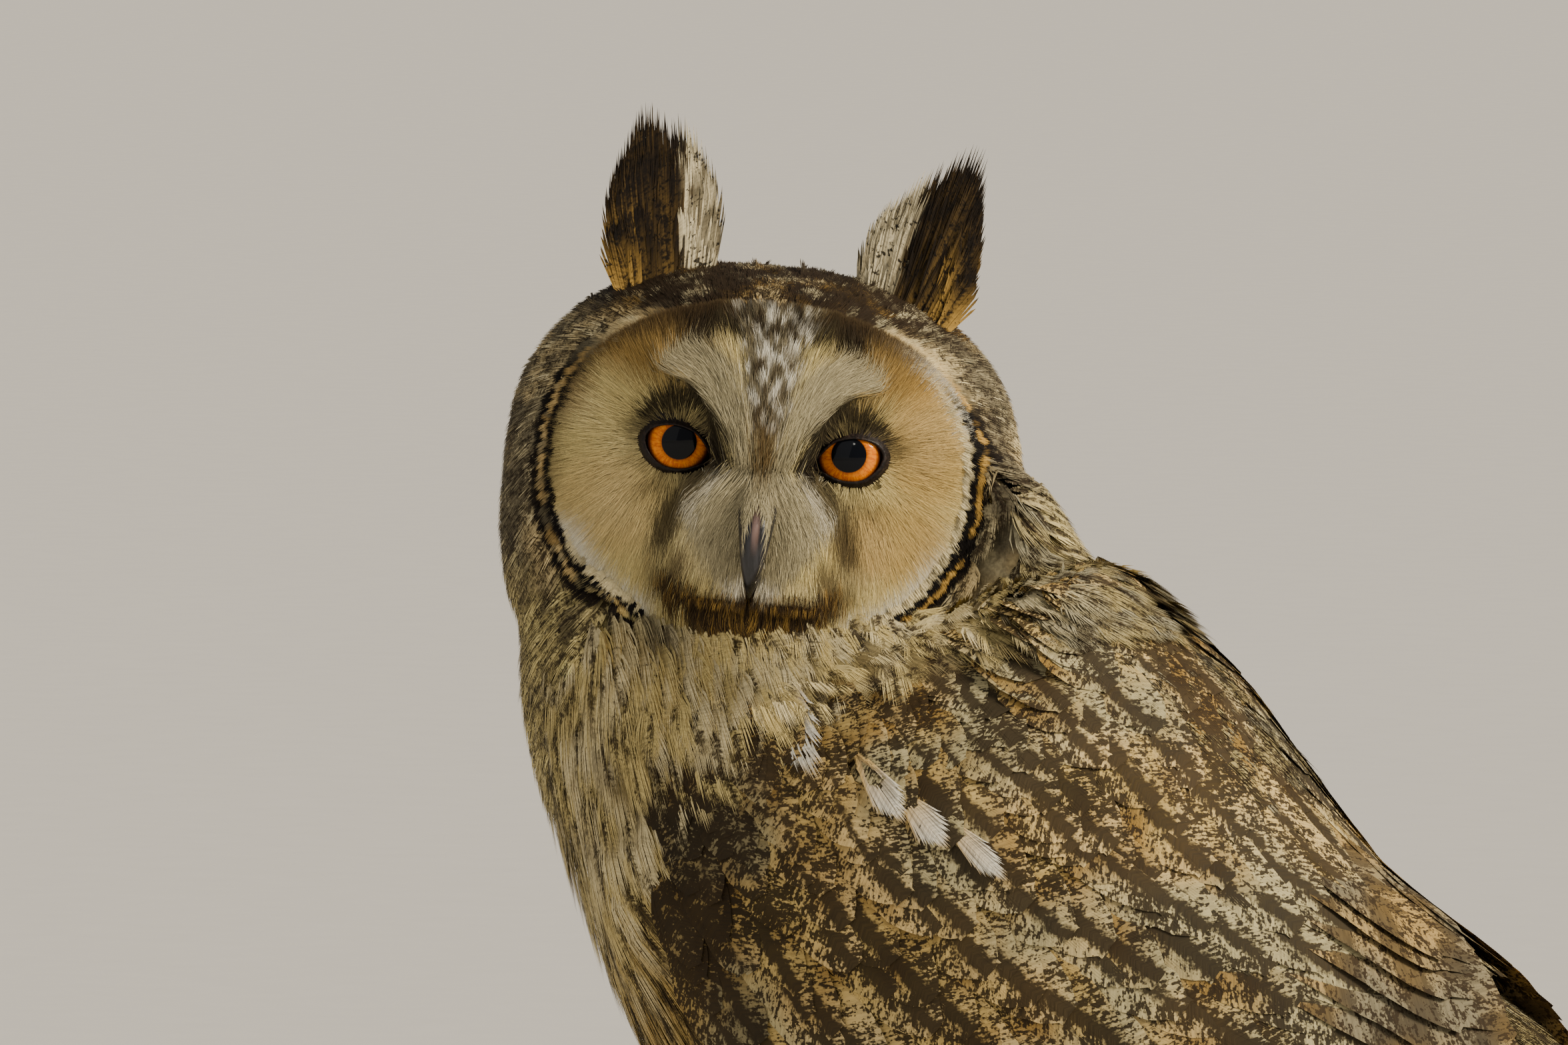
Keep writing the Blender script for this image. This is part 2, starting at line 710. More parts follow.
def vane_template(rows, sweep=0.08, tip_round=0.16, ragged=0.02):
    """A firm feather: one close vane with slightly ragged edges and a rounded tip."""
    columns = (-1.0, -0.82, -0.4, 0.0, 0.4, 0.82, 1.0)
    jagged = np.random.default_rng(rows).uniform(-1, 1, (rows + 1, len(columns)))
    points, faces = [], []
    for i in range(rows + 1):
        along = 1 - (1 - i / rows) ** 1.3
        outline = min(1.0, 0.35 + along / 0.35 * 0.65)
        if along > 1 - tip_round:
            outline = max(0.12, 1 - ((along - 1 + tip_round) / tip_round) ** 2) ** 0.5
        for j, column in enumerate(columns):
            edge = abs(column) > 0.9 or i == rows
            notch = ragged * jagged[i, j] if edge else 0
            slip = sweep * (column * column - 1) * (1 - along) ** 0.3
            place = along + slip * min(1, along * 3) + notch
            points.append((place, column * outline, 0, i if edge else INSIDE))
    wide = len(columns)
    for i in range(rows):
        for a in range(i * wide, i * wide + wide - 1):
            faces += [(a, a + 1, a + wide + 1), (a, a + wide + 1, a + wide)]
    return np.array(points, float), np.array(faces)


class Shafts:
    """Many feathers' shafts as points, with the way out of the coat at each."""

    def __init__(self, points, out):
        self.points = points
        self.out = unit(out)
        self.ways = unit(np.gradient(points, axis=1))
        self.length = np.linalg.norm(np.diff(points, axis=1), axis=-1).sum(axis=1)
        self.last = points.shape[1] - 1

    def at(self, along):
        """Place, way along and way out at each feather's own shares of its length."""
        spot = along * self.last
        first = np.clip(np.floor(spot).astype(int), 0, self.last - 1)
        part = (spot - first)[..., None]
        held = np.clip(part, 0, 1)
        row = np.arange(len(self.points))[:, None]

        def between(values, share):
            return lerp(values[row, first], values[row, first + 1], share)

        return between(self.points, part), between(self.ways, held), between(self.out, held)


# Feathers laid out: corner points, faces of one feather, each corner's place in its feather (along, across and
# a seed), each feather's length and half-width, and the way out of the coat
Laid = namedtuple("Laid", "points faces lay reach out")


def spread(template, shafts, width, fray=0.0, cup=0.0, roll=0.0, seed=1):
    """Feathers of a template laid along shafts, frayed at their edges, cupped and rolled to one side."""
    shape, faces = template
    own = np.random.default_rng(seed)
    count = len(shafts.points)
    barb_count = int(shape[:, 3].max()) + 1
    shake = own.normal(0, fray, (count, barb_count, 2))
    barb = shape[:, 3].astype(int)
    share = np.abs(shape[:, 1]) ** 1.3
    along = shape[:, 0] + shake[:, barb, 0] * share
    across = shape[:, 1] + shake[:, barb, 1] * share * shape[:, 1]
    place, way, out = shafts.at(along)
    beside = unit(np.cross(out, way))
    half = (0.5 * np.broadcast_to(width, count))[:, None]
    turn = np.tan(np.radians(np.broadcast_to(roll, count)))[:, None]
    lift = shape[:, 2] - cup * across**2 * half + across * half * turn
    points = place + beside * (across * half)[..., None] + out * lift[..., None]
    seeds = own.uniform(0, 100, (count, 1))
    return Laid(points, faces, stacked(along, across, seeds), stacked(shafts.length, half[:, 0], 0), out)


def from_root(tint, laid, dark=0.6):
    """Feathers' tints for each corner, darker towards the root."""
    return np.clip(tint[:, None] * lerp(dark, 1.1, laid.lay[..., :1]), 0, 1)


class Coat:
    """Feathers gathered into one piece."""

    def __init__(self):
        self.parts = defaultdict(list)
        self.size = 0

    def add(self, laid, tint, spot, shade=DARK, marks=(0, 0, 0), patch=PATCH["tuft"]):
        """tint, shade and marks are for all, each or each corner, and spot is a root's place on the unwrap."""
        count, corners = laid.points.shape[:2]

        def each(values):
            values = np.asarray(values, float)
            if values.ndim == 2:
                values = values[:, None]
            return np.broadcast_to(values, (count, corners, 3)).reshape(-1, 3)

        flat = spot[:, None] + patch * stacked(laid.lay[..., 1] / 2, laid.lay[..., 0])
        shift = np.arange(count)[:, None, None] * corners + self.size
        for key, values in {
            "points": laid.points.reshape(-1, 3), "faces": (laid.faces[None] + shift).reshape(-1, 3),
            "tint": each(tint), "shade": each(shade), "marks": each(marks), "lay": laid.lay.reshape(-1, 3),
            "reach": each(laid.reach), "out": unit(laid.out).reshape(-1, 3), "spot": flat.reshape(-1, 2),
        }.items():
            self.parts[key].append(values)
        self.size += count * corners

    def finish(self, name, slot, replaced=(), soft=0.7):
        """soft is the share of the coat's own direction in how a feather is lit."""
        whole = {key: np.concatenate(parts) for key, parts in self.parts.items()}
        points, faces, out = whole["points"], whole["faces"], whole["out"]
        points[:, 2] = np.maximum(points[:, 2], LOWEST)
        first, second, third = (points[faces[:, k]] for k in range(3))
        facing = (np.cross(second - first, third - first) * out[faces[:, 0]]).sum(-1)
        faces[facing < 0] = faces[facing < 0][:, ::-1]
        mesh = mesh_of(name, points, faces)
        own = np.zeros(points.size, np.float32)
        mesh.vertex_normals.foreach_get("vector", own)
        mesh.normals_split_custom_set_from_vertices(unit(lerp(own.reshape(-1, 3), out, soft)).tolist())
        for key in ("tint", "shade"):
            paint(mesh, key, with_alpha(whole[key]))
        for key in ("marks", "lay", "reach"):
            paint(mesh, key, whole[key])
        layer = mesh.uv_layers.new(name="OFBake")
        flat = np.clip(whole["spot"], 0, 1)[faces.ravel()]
        layer.data.foreach_set("uv", flat.astype(np.float32).ravel())
        return piece_of(mesh, plumage, slot, replaced)


def laid_over(roots, flow, lengths, heights, steps=4):
    """Shafts that start at roots on the envelope and follow a flow over it, at heights from root to tip."""
    place, normal, _ = envelope.nearest(roots)
    points, normals = [place], [normal]
    for _ in range(steps - 1):
        way = flow(place)
        way = unit(way - normal * (way * normal).sum(-1, keepdims=True))
        place, normal, _ = envelope.nearest(place + way * (lengths / (steps - 1))[:, None])
        points.append(place)
        normals.append(normal)
    points, normals = np.stack(points, 1), np.stack(normals, 1)
    rise = np.linspace(0, 1, steps)[:, None]
    return Shafts(points + normals * lerp(*heights, np.sqrt(rise)), normals)


plumage = plumage_material()

# The face. Its marks: side (0 for both, 1 for the bird's left), x, z, half-width, half-height, tilt outwards in
# degrees, colour and strength
FACE_MARKS = [
    (0, 24, 17.5, 16, 9.5, 12, TAN, 0.9),
    (0, 22, 22, 14, 6, -14, BROWN, 0.62),
    (1, 31, 4, 9, 14, 0, GOLD, 0.6),
    (1, 26, -14, 13, 8, 0, GOLD, 0.55),
    (-1, 28, -12, 13, 10, 0, lerp(GOLD, CREAM, 0.4), 0.5),
    (0, 12.0, 22.5, 10.5, 5.6, -6, DARK, 0.95),
    (0, 25, 26, 14, 3.6, -22, BROWN, 0.9),
    (-1, 35, 12, 4.0, 12, 10, lerp(BROWN, GOLD, 0.4), 0.6),
    (0, 20.5, -8.5, 5, 2.0, -20, BROWN, 0.45),
    (0, 0.4, -5.0, 2.5, 6.5, 0, lerp(BROWN, GOLD, 0.15), 0.85),
    (0, 14.6, -21.5, 2.6, 4.6, 20, BROWN, 0.75),
    (1, 36.6, -14, 3.0, 7, -15, CREAM, 0.7),
]
# Lines on each side of the face, as x, z and half-width: the pale brow from beside the bill to over the eye,
# the black shade under it, and the dark smear from the eye's inner corner down beside the bristles
BROW = np.array([
    [3.4, -5, 1.6], [4.9, 1, 2.0], [6.9, 6, 2.7], [10, 12.2, 3.7], [14.2, 15.2, 3.5], [19, 13.8, 1.8],
])
SHADE = np.array([
    [8.4, -4.5, 1.4], [9.0, 0.5, 1.8], [10.6, 5.4, 2.3], [14.2, 8.0, 2.3], [19, 7.4, 1.8], [24, 4.6, 0.9],
])
SMEAR = np.array([[9.4, -3.5, 2.0], [12.6, -7, 2.1], [16.6, -12, 2.5], [18.4, -17.5, 1.8]])


def from_line(x, z, line):
    """Distance from a line as a share of its half-width."""
    least = np.full(x.shape, 9.0)
    for (x0, z0, half0), (x1, z1, half1) in zip(line, line[1:]):
        share = ((x - x0) * (x1 - x0) + (z - z0) * (z1 - z0)) / ((x1 - x0) ** 2 + (z1 - z0) ** 2)
        share = np.clip(share, 0, 1)
        apart = np.hypot(x - lerp(x0, x1, share), z - lerp(z0, z1, share)) / lerp(half0, half1, share)
        least = np.minimum(least, apart)
    return least


def eye_apart(x, z):
    """How far a place is from the nearer pupil, with the lids' opening there taken as 1."""
    dx = np.abs(x) - PUPIL_X
    dz = z - np.where(x > 0, PUPIL_Z[1], PUPIL_Z[-1])
    turn = np.arctan2(LID_EDGE[:, 1], LID_EDGE[:, 0])
    order = np.argsort(turn)
    reach = np.interp(np.arctan2(dz, dx), turn[order], np.hypot(*LID_EDGE.T)[order], period=2 * math.pi)
    return np.hypot(dx, dz) / reach


def face_patches(x, z):
    """The face's marks, as colours and how far each covers."""
    for side, mark_x, mark_z, half_x, half_z, tilt, color, strength in FACE_MARKS:
        c, s = math.cos(math.radians(tilt)), math.sin(math.radians(tilt))
        dx, dz = np.abs(x) - mark_x, z - mark_z
        inside = hill((dx * c + dz * s) / half_x, (dz * c - dx * s) / half_z)
        here = 1 if side == 0 else x * side > 0
        yield color, here * strength * ramp(0.25, 0.75, inside)


def rim_and_lids(x, z):
    """White and brown edges of the disc, and the dark round the eyes."""
    wide = np.abs(x)
    rim = disc_share(x, z)
    yield WHITE, 0.95 * ramp(0.885, 0.925, rim) * ramp(0, 8, z) * ramp(22, 16, z) * (x > 0)
    yield WHITE, 0.9 * ramp(0.8, 0.89, rim) * ramp(-13, -19, z) * ramp(17, 21, wide)
    yield BROWN, 0.7 * ramp(0.86, 0.94, rim) * np.maximum(ramp(10, 22, z), (x < 0) * ramp(-16, -6, z))
    above = ramp(-2, 3, z)
    lids = ramp(lerp(1.4, 2.1, above), 1.15, eye_apart(x, z)) * lerp(0.45, 1.0, above)
    yield lerp(BLACK, BROWN, 0.3), 0.9 * lids
    yield SOOT, 0.85 * ramp(1.5, 0.7, from_line(wide, z, SMEAR))
    yield lerp(BLACK, BROWN, 0.1), 0.95 * ramp(1.5, 0.8, from_line(wide, z, SHADE))


def beard(x, z):
    """Pale bristles beside the bill, whiter at their ends."""
    share = np.abs(x) / np.interp(z, [-30, -25, -18, -11, -5], [3.0, 6.0, 11.5, 14.0, 8.5])
    inside = ramp(1.1, 0.85, share) * ramp(-30, -27, z) * ramp(-3, -7, z)
    yield lerp(GREY, CREAM, 0.3), inside
    ends = ramp(0.7, 0.95, share) * ramp(1.15, 1.0, share) * ramp(-17, -10, z) + ramp(-23, -26, z)
    yield WHITE, 0.6 * inside * np.clip(ends, 0, 1)


def forehead(x, z, points):
    """The flecked stripe up the forehead, the pale brows beside it and the brown over the bill."""
    wide = np.abs(x)
    stripe = ramp(1.2, 0.8, wide / np.interp(z, [-2, 8, 22, 30], [2.2, 4.6, 6.4, 9.0])) * ramp(-3, 3, z)
    fleck = mottle(points * [1, 1, 0.6], 0.9, 5)
    flecked = mixed(lerp(GREY, BROWN, 0.45), WHITE, 0.9 * ramp(0.5, 0.75, fleck))
    flecked = mixed(flecked, UMBER, 0.8 * ramp(0.45, 0.25, fleck))
    flecked = mixed(flecked, DARK, 0.75 * ramp(17, 25, z) * ramp(0.7, 0.4, mottle(points, 2.2, 6)))
    yield flecked, stripe
    yield lerp(GREY, CREAM, 0.25), 0.95 * ramp(1.25, 0.8, from_line(wide, z, BROW))
    yield lerp(BROWN, GOLD, 0.1), 0.85 * hill(wide / 2.2, (z + 0.5) / 6.0)


def chin(x, z, points):
    """The dark arch under the bill, with small gold flecks."""
    wide = np.abs(x)
    arch = (z + 33.0 - 0.024 * wide**2) / lerp(6.6, 3.4, np.clip(wide / 21, 0, 1))
    flecked = mixed(UMBER, GOLD, 0.6 * ramp(0.55, 0.8, mottle(points, 0.7, 7)))
    yield flecked, ramp(1.25, 0.7, np.abs(arch) + 0.5 * (mottle(points, 2.0, 8) - 0.5)) * ramp(23, 17, wide)


def face_tint(x, z, points):
    """The colour of the face at a place on it."""
    color = mixed(PALE_BUFF, CREAM, 0.5 * ramp(0.35, 0.8, mottle(points, 9, 3)))
    marks = [*face_patches(x, z), *rim_and_lids(x, z), *beard(x, z)]
    for paint_color, share in (*marks, *forehead(x, z, points), *chin(x, z, points)):
        color = mixed(color, paint_color, share)
    return color


def front(x, z):
    """How far forward the face reaches, with the lids' edges and the bill on it."""
    bare = face_depth(x, z)
    off = (np.abs(x) - EYE["x"]) ** 2 + (z - EYE["z"]) ** 2
    lid = EYE["f"] + np.sqrt(np.maximum(LID_REACH**2 - off, 0))
    raised = np.maximum(bare, lerp(bare, lid, ramp(2.1, 1.1, eye_apart(x, z))))
    share = np.clip(np.abs(x) / np.interp(z, RIDGE["z"], RIDGE["half"]), 0, 1)
    bill = np.interp(z, RIDGE["z"], RIDGE["f"]) - BILL_ROUND * (1 - np.sqrt(1 - share**2))
    return np.where((share < 1) & (z > BILL_TIP), np.maximum(raised, bill), raised)


def face_flow(x, z, pick):
    """Which way filaments lie on the face: out from the eyes, up the forehead and down beside the bill."""
    wide = np.abs(x)
    out = unit(stacked(wide - EYE["x"], z - EYE["z"]))
    up = unit(stacked(lerp(0.12, 0.5, ramp(2, 10, wide)), 1))
    down = unit(stacked(lerp(0.1, 0.7, ramp(-24, -6, z)) * ramp(0.5, 5, wide), -1))
    middle = np.where((pick < ramp(-7, -1, z))[:, None], up, down)
    share = np.where(z > -5, ramp(13.5, 9.5, wide), ramp(17, 13, wide) * ramp(-38, -30, z))
    way = unit(mixed(out, middle, share))
    brow_way = mixed(np.array([0.3, 1.0]), np.array([0.95, 0.42]), ramp(5, 17, wide))
    way = unit(mixed(way, brow_way, 0.9 * ramp(1.7, 1.0, from_line(wide, z, BROW)) * ramp(-4, 0, z)))
    return way * stacked(np.where(x == 0, 1, np.sign(x)), 1)


def spot_on_head(points):
    """A place on the unwrap of the head: its direction from the head's middle, laid flat."""
    x, f, z = to_head(points)
    turn = np.arctan2(z, x)
    away = np.arctan2(np.hypot(x, z), f) / math.pi
    return 0.5 + UNWRAP_HALF * stacked(np.cos(turn), np.sin(turn)) * away[..., None]


def bristled(x, z):
    """Where brows, forehead and the bill's bristles are."""
    wide = np.abs(x)
    return (wide < 9) | ((wide < 15) & (z < -3) & (z > -30)) | ((wide < 21) & (z > 2) & (z < 20))


def face_roots(tries, box, bristles):
    """Where filaments start on a part of the face, clear of its rim, the lids and the bare bill."""
    x, z = draw.uniform(box[0], box[1], tries), draw.uniform(box[2], box[3], tries)
    bill = np.interp(z, [BILL_TIP, -24, -17, -12, -9], [0.6, 2.0, 2.5, 1.6, 0])
    bare = (np.abs(x) < bill) & (z > BILL_TIP)
    kept = (disc_share(x, z) < 0.97) & (eye_apart(x, z) > 1.12) & ~bare & (bristled(x, z) == bristles)
    return x[kept], z[kept]


def face_lengths(x, z, bearded, browed):
    """Lengths of filaments: short by the lids and the rim, and long in beard and brows."""
    wide = np.abs(x)

    def uneven(low, high):
        return draw.uniform(low, high, len(x))

    length = lerp(2.6, 8.6, ramp(1.1, 2.6, eye_apart(x, z))) * uneven(0.75, 1.2)
    length = np.where(bearded, lerp(3.4, 9.5, ramp(0, 6, wide)) * uneven(0.7, 1.15), length)
    length = np.where(bearded, np.minimum(length, np.maximum(4.2, z + 30.5)), length)
    length = np.where((wide < 7) & (z > -3), 4.6 * uneven(0.7, 1.2), length)
    length = np.where(browed, 7.5 * uneven(0.7, 1.2), length)
    return np.minimum(length, lerp(9.0, 3.0, ramp(0.75, 1.0, disc_share(x, z))))


def face_lines(x, z, length, steps=4):
    """x and z along filaments that follow the flow, each a little off to one side."""
    line_x, line_z = [x], [z]
    sway = draw.normal(0, 0.13, len(x))
    pick = draw.uniform(0, 1, len(x))
    for _ in range(steps - 1):
        way = face_flow(line_x[-1], line_z[-1], pick)
        way = way + stacked(-way[:, 1], way[:, 0]) * sway[:, None]
        line_x.append(line_x[-1] + way[:, 0] * length / (steps - 1))
        line_z.append(line_z[-1] + way[:, 1] * length / (steps - 1))
    return np.stack(line_x, 1), np.stack(line_z, 1)


def face_coat(name, tries, box, width, rows, shades, bristles):
    """Filaments over a part of the face."""
    x, z = face_roots(tries, box, bristles)
    bearded = (np.abs(x) < 14.5) & (z < -4) & (z > BILL_TIP)
    browed = (from_line(np.abs(x), z, BROW) < 1.1) & (z > -2)
    raised = 1.4 * bearded + 1.2 * browed
    near = eye_apart(x, z)
    line_x, line_z = face_lines(x, z, face_lengths(x, z, bearded, browed))
    clear = eye_apart(line_x, line_z).min(1) > 1.04
    line_x, line_z, near, raised = (values[clear] for values in (line_x, line_z, near, raised))
    count, steps = line_x.shape
    rise = np.linspace(0, 1, steps)
    loose = draw.uniform(0.1, 1.1, count)[:, None]
    height = -1.3 + (1.3 + loose) * np.sqrt(rise) + raised[:, None] * np.sin(rise * 2.4)
    height = height * lerp(0.5, 1.0, ramp(1.1, 1.8, near))[:, None]
    points = in_head(line_x, front(line_x, line_z) + height, line_z)
    out = in_head(line_x, face_depth(line_x, line_z), line_z) - in_head(line_x * 0.75, -18, line_z * 0.75)
    widths = draw.uniform(*width, count)
    rolls = draw.uniform(-35, 35, count)
    laid = spread(blade_template(rows), Shafts(points, out), widths, roll=rolls, seed=3)
    off = draw.normal(0, 0.7, (2, count))
    spots = face_tint(line_x[:, 1] + off[0], line_z[:, 1] + off[1], points[:, 1])
    shine = np.clip(draw.normal(1.0, shades, (count, 1)), 0.45, 1.4)
    tint = (spots * shine)[:, None] * lerp(0.76, 1.1, laid.lay[..., :1] ** 0.8)
    coat = Coat()
    coat.add(laid, np.clip(tint, 0, 1), spot_on_head(points[:, 0]))
    return coat.finish(name, "facial_disc", soft=0.62)


# Parts of the face: tries, x and z, widths and rows of the blades, spread of their shades and whether bristled
FACE_PARTS = {
    "brow_feathers": (60000, (-21, 21, -38, 28), (0.17, 0.3), 3, 0.24, True),
    "disc_left_feathers": (84000, (0, 43, -40, 30), (0.16, 0.27), 2, 0.18, False),
    "disc_right_feathers": (84000, (-43, 0, -40, 30), (0.16, 0.27), 2, 0.18, False),
}


# Crown, nape and the disc's ruff

def head_flow(points):
    """Which way the feathers lie behind the face: back over the crown and down the sides and nape."""
    x, f, z = to_head(points)
    out = unit(stacked(x, z - DISC["middle"]))
    outwards = HEAD_LEFT * out[..., :1] + HEAD_UP * out[..., 1:]
    falling = DOWN * lerp(0.45, 1.0, ramp(15, -30, z))[..., None]
    return unit(-FACE_OUT + outwards * 0.5 * ramp(0, 20, f)[..., None] + falling)


def head_tint(points):
    """Colours behind the face: dark and speckled on the crown, browner down the sides and nape."""
    x, f, z = to_head(points)
    coarse, fine = mottle(points, 7, 11), mottle(points, 2.4, 12)
    side = mixed(lerp(BROWN, GREY, 0.5), lerp(GOLD, CREAM, 0.65), ramp(0.4, 0.7, coarse))
    side = mixed(side, CREAM, 0.8 * ramp(0.6, 0.8, fine))
    crown = mixed(lerp(DARK, BROWN, 0.25), lerp(GREY, CREAM, 0.4), 0.8 * ramp(0.6, 0.85, fine))
    crown = mixed(crown, GOLD, ramp(0.66, 0.85, coarse) * 0.3)
    fluff = mixed(PALE_BUFF, lerp(BROWN, GREY, 0.3), 0.8 * ramp(0.5, 0.75, coarse))
    low = np.maximum(ramp(-24, -34, z) * ramp(-12, 4, f), 0.8 * ramp(54, 66, from_middle(points)))
    return mixed(mixed(side, crown, ramp(20, 27, z)), fluff, low)


def head_roots(count=9000):
    """Places spread evenly round the head, behind the disc."""
    index = np.arange(count) + 0.5
    tall = 1 - 2 * index / count
    turn = index * math.pi * (1 + 5 ** 0.5)
    flat = np.sqrt(1 - tall**2)
    places = envelope.struck(HEAD_MIDDLE, stacked(np.cos(turn) * flat, np.sin(turn) * flat, tall))
    x, f, z = to_head(places)
    edge = lerp(1.0, 1.12, ramp(24, 14, np.abs(x)) * ramp(-20, -30, z))
    return places[((disc_share(x, z) > edge) | (f < 4)) & (from_middle(places) < 78)]


def head_coat():
    places = head_roots()
    count, away = len(places), from_middle(places)
    x, f, z = to_head(places)
    top, neck = ramp(20, 32, z), ramp(56, 76, away)
    length = lerp(lerp(11.5, 15, neck), 6.5, top) * draw.uniform(0.8, 1.2, count)
    bridge = (3.0 * ramp(48, 58, away) * ramp(80, 68, away) * ramp(0, 14, x))[:, None, None]
    shafts = laid_over(places, head_flow, length, (-2.4 + 0.5 * bridge, 0.5 + bridge))
    rolls = draw.normal(0, 1, count) * lerp(8, 18, top)
    width = lerp(lerp(6.0, 8.0, neck), 4.4, top)
    laid = spread(lock_template(16, 0.09), shafts, width, fray=0.06, cup=0.14, roll=rolls, seed=5)
    tint = head_tint(shafts.points[:, 2]) * draw.normal(1, 0.14, (count, 1))
    marks = stacked(lerp(0.18, 0.12, top) * draw.uniform(0.3, 1.3, count), 0, lerp(0.45, 0.9, top))
    tint, spot = from_root(tint, laid), spot_on_head(places)
    for name, here in (("crown_feathers", z > 2), ("hood_feathers", z <= 2)):
        coat = Coat()
        part = Laid(laid.points[here], laid.faces, laid.lay[here], laid.reach[here], laid.out[here])
        coat.add(part, tint[here], spot[here], lerp(DARK, BROWN, 0.2), marks[here])
        coat.finish(name, "body_feathers")


# Rows of the ruff: share of the disc's reach, count, colour, length, width and height
RUFF_ROWS = [
    (0.925, 260, CREAM, 4.0, 1.8, 0.6), (0.962, 270, BLACK, 3.8, 2.2, 0.9),
    (0.995, 240, GOLD, 3.8, 2.0, 0.9), (1.03, 220, DARK, 4.6, 2.8, 0.5),
]


def ruff_coat():
    """Short, stiff feathers round the disc's edge: white, black, buff-tipped and dark rows."""
    coat = Coat()
    for scale, count, color, length, width, height in RUFF_ROWS:
        turn = (np.arange(count) + draw.uniform(-0.4, 0.4, count)) * 2 * math.pi / count
        c, s = np.cos(turn), np.sin(turn)
        high = np.where(s > 0, DISC["up"], DISC["down"])
        power = 2 / DISC["power"]
        near = scale + draw.normal(0, 0.006, count)
        x = near * DISC["half_width"] * np.sign(c) * np.abs(c) ** power
        z = near * high * np.sign(s) * np.abs(s) ** power + DISC["middle"]
        pale = ((z < -18) & (np.abs(x) > 19)) | ((x > 0) & (z < 20))
        kept = ~((np.abs(x) < 20) & ((z > 20) | (z < -22))) & (pale | (color is not CREAM))
        x, z = x[kept], z[kept]
        roots = in_head(x, face_depth(x, z) - 1, z)
        lengths = length * draw.uniform(0.8, 1.2, len(x))
        shafts = laid_over(roots, head_flow, lengths, (-1.5, height))
        rolls = draw.normal(0, 15, len(x))
        seed = int(count * scale)
        laid = spread(lock_template(11, 0.16), shafts, width, fray=0.08, cup=0.1, roll=rolls, seed=seed)
        dark = ramp(0.5, 0.7, mottle(roots, 1.6, 19)) * (0.4 if color is CREAM else 1)
        blend = np.maximum(0.85 * ramp(11, 19, z), 0.5 * (x < 0) * (color is GOLD))
        tint = mixed(mixed(color, BLACK, dark), head_tint(roots), blend)
        coat.add(laid, from_root(tint, laid, 0.7), spot_on_head(roots))
    return coat.finish("ruff_feathers", "facial_disc")


# Neck, breast, back and belly

def spot_on_body(place, angle, side):
    """A place on the unwrap of the body: cut open along the belly and laid flat."""
    down = 0.02 + 0.95 * np.clip((place + 0.8) / len(BODY), 0, 1)
    return stacked(0.5 + UNWRAP_HALF * side * angle / 180, down)


def body_tint(place, angle, points):
    coarse, fine = mottle(points, 12, 21), mottle(points, 3, 22)
    fluff = mixed(lerp(PALE_BUFF, GOLD, 0.15), CREAM, ramp(0.35, 0.7, fine))
    breast = mixed(lerp(GOLD, PALE_BUFF, 0.35), CREAM, 0.7 * ramp(0.5, 0.8, fine))
    mantle = mixed(lerp(PALE_BUFF, BROWN, 0.5), GREY, ramp(0.4, 0.7, fine))
    color = mixed(mantle, breast, ramp(55, 85, angle))
    color = mixed(color, fluff, ramp(1.6, 1.1, place) * ramp(10, 35, angle))
    vent = ramp(5.0, 6.2, place) * ramp(90, 130, angle)
    return mixed(color, CREAM, 0.8 * vent) * lerp(0.9, 1.08, coarse)[..., None]


def under_wings(place, angle):
    return (place > 1.05) & (place < 4.6) & (angle > 27) & (angle < lerp(106, 122, ramp(1.0, 2.2, place)))


def coat_height(place, angle):
    """How far the plumage of neck, back and flanks stands off the body, to meet the folded wings."""
    neck = ramp(150, 122, angle) * ramp(2.0, 1.4, place)
    back = 0.95 * ramp(60, 30, angle) * ramp(5.2, 4.0, place)
    return wing_height(place, angle) * np.maximum(neck, back)


def body_roots():
    """Places, angles and sides of the body's feathers, in rows, away from wings and disc."""
    rows = []
    for row, place in enumerate(np.arange(-0.1, 6.9, 0.12)):
        _, _, wide, back, belly = station(np.array(place))
        count = int(math.pi * 0.25 * (2 * wide + back + belly) / 5.0)
        angle = (np.arange(count) + 0.5 * (row % 2) + draw.uniform(-0.3, 0.3, count)) * 180 / count
        for side in (-1, 1):
            rows.append((place + draw.uniform(-0.04, 0.04, count), np.clip(angle, 0, 180), np.full(count, side)))
    place, angle, side = (np.concatenate(values) for values in zip(*rows))
    surface = over_body(place, angle, 0, side)
    _, _, apart = envelope.nearest(surface)
    x, f, z = to_head(surface)
    kept = ~under_wings(place, angle) & (apart < 3.2) & ~((disc_share(x, z) < 1.16) & (f > -8))
    return place[kept], angle[kept], side[kept]


def draped(place, angle, side):
    """Lines over the body, drawn onto the skin's reach where that is near, and the ways out of it."""
    line = over_body(place, angle, 0, side)
    flat = line.reshape(-1, 3)
    near, out, apart = envelope.nearest(flat)
    close = (apart < 4)[:, None]
    free = out_of_body(place, angle, side).reshape(-1, 3)
    return np.where(close, near, flat).reshape(line.shape), np.where(close, out, free).reshape(line.shape)


